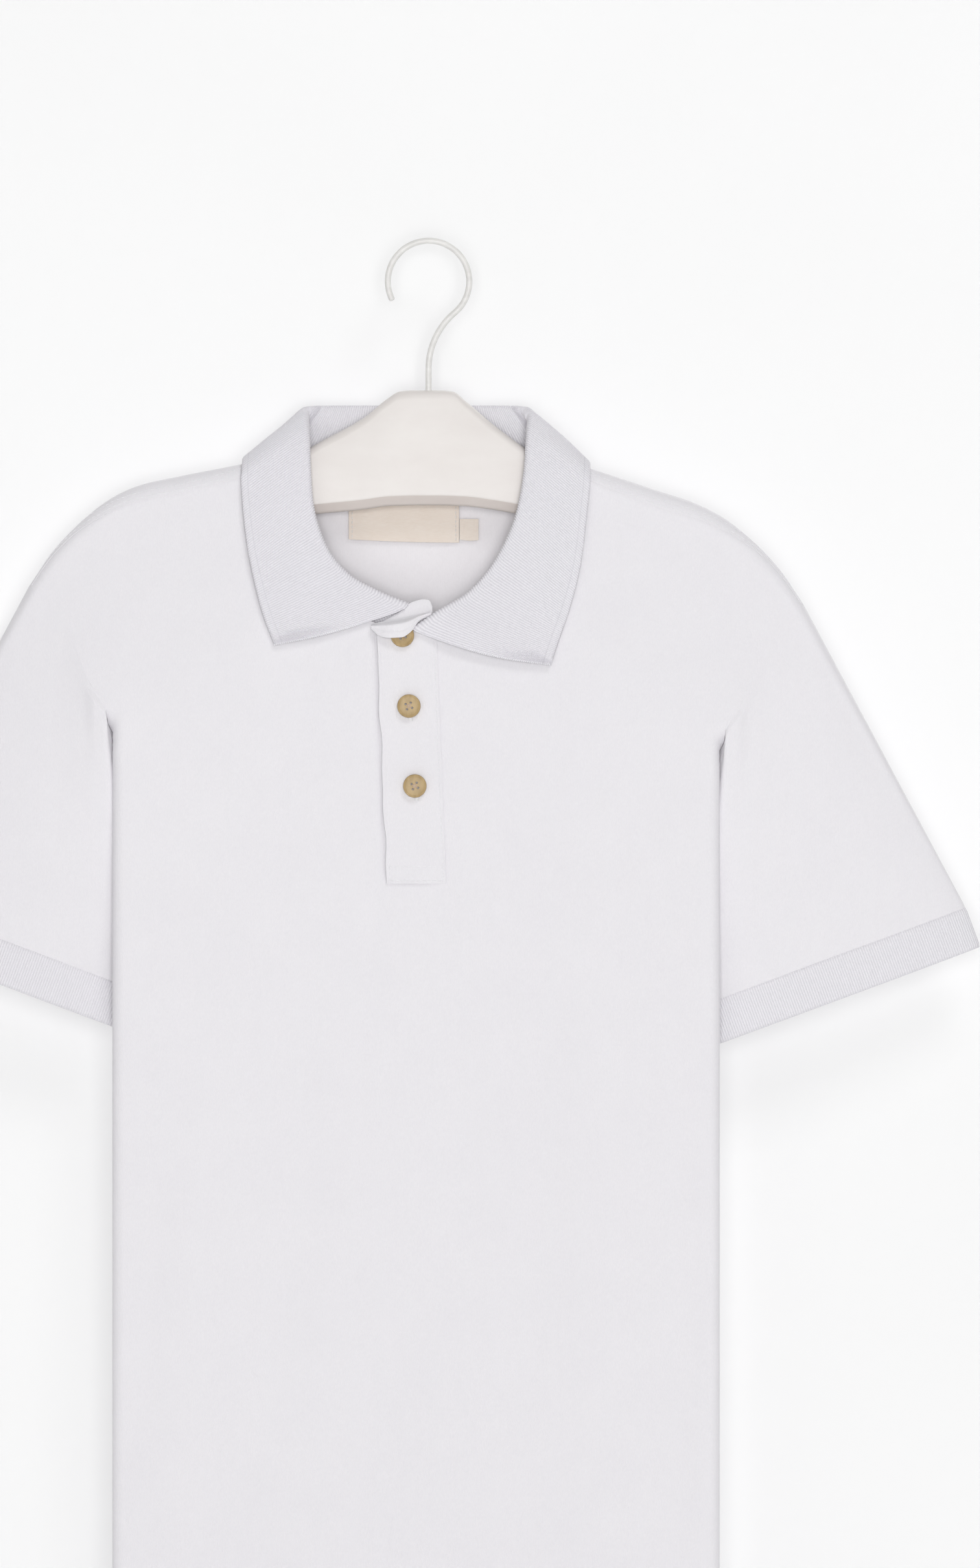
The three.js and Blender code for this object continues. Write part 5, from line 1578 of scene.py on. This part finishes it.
@dataclass
class Hanger:
    """The hanger's body and its wire hook."""

    form: Form
    bevel_height: float = 5.0
    bevel_depth: float = 3.0
    wire: float = 1.5
    loop: float = 20.0
    places: tuple[float, ...] = (
        -172, -168, -152, -136, -120, -104, -92, -76, -58.6, -31.6, -20, -14, -8,
        6, 12, 18.6, 31.2, 45.6, 64, 84, 98, 114, 130, 146, 158, 167, 171,
    )
    tops: tuple[float, ...] = (
        86, 80.5, 66, 57.2, 51.9, 46.5, 45, 40.5, 28.4, 13.3, 4, 0.5, 0,
        0, 0.6, 5.6, 16.3, 27.1, 38.5, 45, 46.9, 52.2, 57.6, 67.2, 77.6, 87.6, 93.5,
    )
    bottoms: tuple[float, ...] = (
        98, 99, 89, 82, 76, 70, 66, 63.4, 61.2, 58.5, 56.9, 56.7, 56.5,
        56.5, 56.7, 57, 58.6, 61, 63.4, 66.5, 71, 76, 82, 90, 97, 104, 103,
    )
    halves: tuple[float, ...] = (
        4.5, 7.2, 7.2, 7.2, 7.2, 7.2, 6, 5, 5, 5, 5, 5, 5,
        5, 5, 5, 5, 5, 5, 6, 7.2, 7.2, 7.2, 7.2, 7.2, 7.2, 4.5,
    )

    def body(self, name: str) -> bpy.types.Object:
        """The body, a smooth loft whose lower edge is bevelled."""
        form = self.form
        x = np.linspace(self.places[0], self.places[-1], 230)
        top, bottom, half = (Curve(self.places, c)(x) for c in (self.tops, self.bottoms, self.halves))
        shirt_x = x - form.shirt_x
        lift = np.where(x < -80, form.hang(shirt_x, 0, 0)[:, 2] - form.hanger_top_z, 0)
        upper, lower = form.hanger_top_z - top + lift, form.hanger_top_z - bottom + lift
        bevel = np.minimum(self.bevel_height, (upper - lower) / 3)
        rim = np.minimum(half, (upper - lower) / 3)
        y, z = [], []
        for degrees in (90, 77, 64, 51, 38, 27, 16, 6):
            angle = math.radians(degrees)
            y.append(half * math.cos(angle))
            z.append(upper - rim * (1 - math.sin(angle)))
        for down, inward in ((1.1, 0), (0.4, 0.03), (0.0, 0.16)):
            y.append(half - inward)
            z.append(lower + bevel + down - 0.3)
        for share in (0.25, 0.5, 0.75, 0.92):
            y.append(half - self.bevel_depth * share)
            z.append(lower + bevel * (1 - share))
        y.append(half - self.bevel_depth - 0.4)
        z.append(lower + 0.06)
        y = [*y, *[-part for part in y[:0:-1]]]
        z = [*z, *z[:0:-1]]
        run = np.broadcast_to(x, (len(y), len(x)))
        points = np.stack([run, np.array(y), np.array(z)], -1).transpose(1, 0, 2)
        rings, count = points.shape[:2]
        quads = grid_cells(rings, count)[..., (0, 3, 2, 1)]
        faces = quads.reshape(-1, 4).tolist()
        faces.append(list(range(count)))
        faces.append([(rings - 1) * count + k for k in range(count)][::-1])
        return make_object(name, points.reshape(-1, 3), faces, 38)

    def paint_bevel_shade(self, body: bpy.types.Object, finish: bpy.types.Material) -> None:
        """Paints shade on the bevel along the lower edge: its downward faces get a darker colour."""
        body.data.materials.append(finish)
        # Downward-facing bevel faces take the darker material: painted shade.
        for face in body.data.polygons:
            if face.normal.z < -0.4 and abs(face.normal.x) < 0.9:
                face.material_index = 1

    def hook(self, name: str) -> bpy.types.Object:
        """The wire: a stem, a bend and a loop over the rail."""
        start, end = math.radians(-50), math.radians(205)
        middle = self.wire - self.loop
        foot = np.array([self.loop * math.cos(start), 0, middle + self.loop * math.sin(start)])
        bend = -start
        radius = foot[0] / (1 - math.cos(bend))
        stem_top = foot[2] - radius * math.sin(bend)
        bottom = self.form.hanger_top_z - 7.7
        line = [(0, 0, z) for z in np.linspace(bottom, stem_top, 12)[:-1]]
        for angle in np.linspace(0, bend, 24)[:-1]:
            line.append((radius * (1 - math.cos(angle)), 0, stem_top + radius * math.sin(angle)))
        for angle in np.linspace(start, end, 100):
            line.append((self.loop * math.cos(angle), 0, middle + self.loop * math.sin(angle)))
        line = np.array(line)
        ahead = unit(np.gradient(line, axis=0))
        radii = np.full(len(line), self.wire)
        tips = line[-1] + ahead[-1] * self.wire * np.array([[0.35], [0.6], [0.7]])
        line, ahead = np.concatenate([line, tips]), np.concatenate([ahead, ahead[[-1] * 3]])
        radii = np.concatenate([radii, self.wire * np.array([0.92, 0.7, 0.4])])
        across = np.stack([ahead[:, 2], 0 * ahead[:, 0], -ahead[:, 0]], -1)
        depth = np.array([0.0, 1.0, 0.0])
        count = 20
        rings = []
        for angle in np.arange(count) * 2 * math.pi / count:
            rings.append(line + (across * math.cos(angle) + depth * math.sin(angle)) * radii[:, None])
        points = np.stack(rings, 1)
        steps = len(line)
        quads = grid_cells(steps, count)
        faces = quads.reshape(-1, 4).tolist()
        faces.append(list(range(count))[::-1])
        faces.append([(steps - 1) * count + k for k in range(count)])
        return make_object(name, points.reshape(-1, 3), faces, 60)


# Stage


@dataclass(frozen=True)
class Lamp:
    """A square soft light: its place, size and power."""

    name: str
    place: Triple
    size: float
    power: float


@dataclass
class Studio:
    """The floor, the backdrop, the light and the camera."""

    photo_width: float = 1512.0
    photo_height: float = 2420.0
    pixels_per_mm: float = 3.15
    hook_pixel: tuple[float, float] = (661.0, 374.2)
    distance: float = 5.0
    shirt_front_y: float = -0.012
    wall_y: float = 0.034
    floor_z: float = -0.93
    stage_reach: float = 4.0
    backdrop_top: float = 2.6
    aim: Triple = (0.0, 0.0, -0.35)
    air: float = 0.27
    lamps: tuple[Lamp, ...] = (
        Lamp("front", (0.1, -3.6, -0.2), 1.3, 57.0),
        Lamp("key", (0.8, -1.9, 1.9), 0.9, 17.0),
        Lamp("fill", (-1.7, -2.4, 0.3), 1.5, 4.5),
        Lamp("back", (0.6, 2.4, 1.0), 1.6, 26.0),
    )

    def plane(self, name: str, corners: Sequence[tuple[float, float, float]], finish: StageFinish) -> None:
        """A flat piece of the stage, with corners in metres."""
        sheet = make_object(name, np.array(corners) / MM, [[0, 1, 2, 3]])
        sheet.data.materials.append(finish.make())

    def set(self) -> None:
        """Puts up the floor and the backdrop."""
        z, y = self.floor_z, self.wall_y
        end, top = self.stage_reach, self.backdrop_top
        floor = StageFinish("floor_pale", (0.83, 0.83, 0.83))
        self.plane("floor", ((-end, -end, z), (end, -end, z), (end, end, z), (-end, end, z)), floor)
        self.plane(
            "backdrop",
            ((-end, y, z), (end, y, z), (end, y, top), (-end, y, top)),
            StageFinish("backdrop_pale", (0.62, 0.62, 0.62), glow=0.30, one_sided=True),
        )
        bpy.data.objects["backdrop"].visible_shadow = False

    def light(self) -> None:
        """Soft studio light, most of it from the front, and some from behind for the other views."""
        for lamp in self.lamps:
            light = bpy.data.lights.new(lamp.name, "AREA")
            light.shape, light.size, light.energy = "SQUARE", lamp.size, lamp.power
            made = bpy.data.objects.new(lamp.name, light)
            made.location = lamp.place
            towards = Vector(self.aim) - Vector(lamp.place)
            made.rotation_euler = towards.to_track_quat("-Z", "Y").to_euler()
            bpy.context.scene.collection.objects.link(made)
        world = bpy.data.worlds.new("studio_air")
        world.use_nodes = True
        air = world.node_tree.nodes["Background"]
        air.inputs[0].default_value = (1.0, 1.0, 1.0, 1)
        air.inputs[1].default_value = self.air
        bpy.context.scene.world = world

    def camera(self) -> None:
        """The photograph's view: straight on, the whole frame."""
        span = self.photo_height / self.pixels_per_mm * MM
        x = (self.photo_width / 2 - self.hook_pixel[0]) / self.pixels_per_mm * MM
        z = -(self.photo_height / 2 - self.hook_pixel[1]) / self.pixels_per_mm * MM
        camera = bpy.data.cameras.new("camera")
        camera.sensor_width = 36.0
        camera.lens = camera.sensor_width * self.distance / span
        made = bpy.data.objects.new("camera", camera)
        made.location = (x, self.shirt_front_y - self.distance, z)
        made.rotation_euler = (math.pi / 2, 0, 0)
        bpy.context.scene.collection.objects.link(made)
        bpy.context.scene.camera = made
        bpy.context.scene.view_settings.view_transform = "Standard"


# The whole shirt


def main() -> None:
    """Builds the shirt, its hanger and the stage."""
    logging.basicConfig(level=logging.INFO, format="%(name)s %(message)s")
    form = Form()
    placket = Placket(form)
    panels = Panels(form, placket)
    jersey, satin = JerseyFinish().make(), SatinFinish().make()
    # The inside face: the cloth's pinkish tone is its own, and its extra lightness over the outside is
    # painted light against the shade inside the body.
    reverse = JerseyFinish("jersey_white_reverse_painted_light", (0.90, 0.875, 0.90), (0.93, 0.905, 0.93), 0.5).make()
    rib = RibFinish("rib_knit_cuff", low=(0.67, 0.655, 0.69)).make()
    sewing = ThreadFinish("thread_white", (0.78, 0.775, 0.80), (0.88, 0.875, 0.90)).make()
    sand = ThreadFinish("thread_sand", (0.50, 0.36, 0.26), (0.62, 0.48, 0.36)).make()

    hem_thread = Thread()
    panels.seams(hem_thread)
    body_seams = dress(hem_thread.build("body_stitches"), sewing)
    front = panels.wall(Face.FRONT).build("front_panel_cloth")
    both = (jersey, reverse)
    dress(front, both, ["front_panel"])
    back = panels.wall(Face.BACK).build("back_panel_cloth")
    dress(back, both, ["back_panel"])

    for side in Side:
        word = side.name.lower()
        sleeve = Sleeve(form, panels, side)
        thread = Thread()
        sleeve.seams(thread)
        trim = dress(thread.build(f"sleeve_{word}_stitches"), sewing)
        cloth = sleeve.sleeve(70, 150).build(f"sleeve_{word}_cloth")
        dress(cloth, jersey, [f"sleeve_{word}"])
        cuff = sleeve.cuff(12).build(f"cuff_{word}_rib", 80)
        dress(cuff, rib, [f"cuff_{word}"])

    collar_form = Collar(form)
    collar_wall = collar_form.wall()
    collar_thread = Thread(width=0.62)
    collar_form.bind(collar_wall, collar_thread)
    collar_ends = dress(collar_thread.build("collar_end_loops"), sewing)
    collar = collar_wall.build("collar_rib", 80)
    collar_rib = RibFinish("rib_knit_collar", band=collar_form.band).make()
    dress(collar, collar_rib, ["collar"])

    placket_thread = Thread(length=1.9, gap=0.7, width=0.36)
    placket.seams(placket_thread)
    buttons = Buttons(form)
    buttons.buttonholes(placket_thread, placket.layer + placket.jersey + 0.05)
    placket_seams = dress(placket_thread.build("placket_stitches"), sewing)
    strip = placket.strip(90, 40).build("placket_top_cloth")
    dress(strip, jersey, ["placket_top"])
    under = placket.under(60, 30).build("placket_under_cloth")
    dress(under, jersey, ["placket_under"])
    fold = placket.neck_fold(24, 24).build("placket_neck_fold_cloth")
    dress(fold, jersey, ["placket_neck_fold"])

    button_thread = Thread(width=0.42)
    buttons.build(ButtonFinish().make(), button_thread)
    dress(button_thread.build("button_threads"), sand)

    labels = Labels(form)
    label_place, tab_place = (-33.3, 20.9, 49.0, 72.9), (21.2, 30.5, 62.9, 73.0)
    label_thread = Thread(length=1.5, gap=0.6, width=0.3)
    labels.seams(label_thread, *label_place)
    label_seams = dress(label_thread.build("label_stitches"), sewing)
    tab = labels.wall(*tab_place, 14, 14).build("size_tab_satin")
    dress(tab, satin, ["size_tab"])
    label = labels.wall(*label_place, 24, 50).build("neck_label_satin")
    dress(label, satin, ["neck_label"])

    hanger = Hanger(form)
    paint = PaintFinish("hanger_paint", (0.73, 0.69, 0.665), (0.765, 0.73, 0.705)).make()
    # The bevel colour is painted shade: a darker copy of the hanger paint for the downward faces.
    bevel = PaintFinish("hanger_bevel_painted_shade", (0.65, 0.585, 0.55), (0.69, 0.63, 0.595)).make()
    wire = PaintFinish("wire_white", (0.70, 0.69, 0.67), (0.78, 0.77, 0.75), 0.34, 0.02, 400).make()
    hanger_body = dress(hanger.body("hanger_body"), paint, ["hanger"])
    hanger.paint_bevel_shade(hanger_body, bevel)
    dress(hanger.hook("hanger_hook_wire"), wire, ["hook"])

    studio = Studio()
    studio.set()
    studio.light()
    studio.camera()


if __name__ == "__main__":
    main()
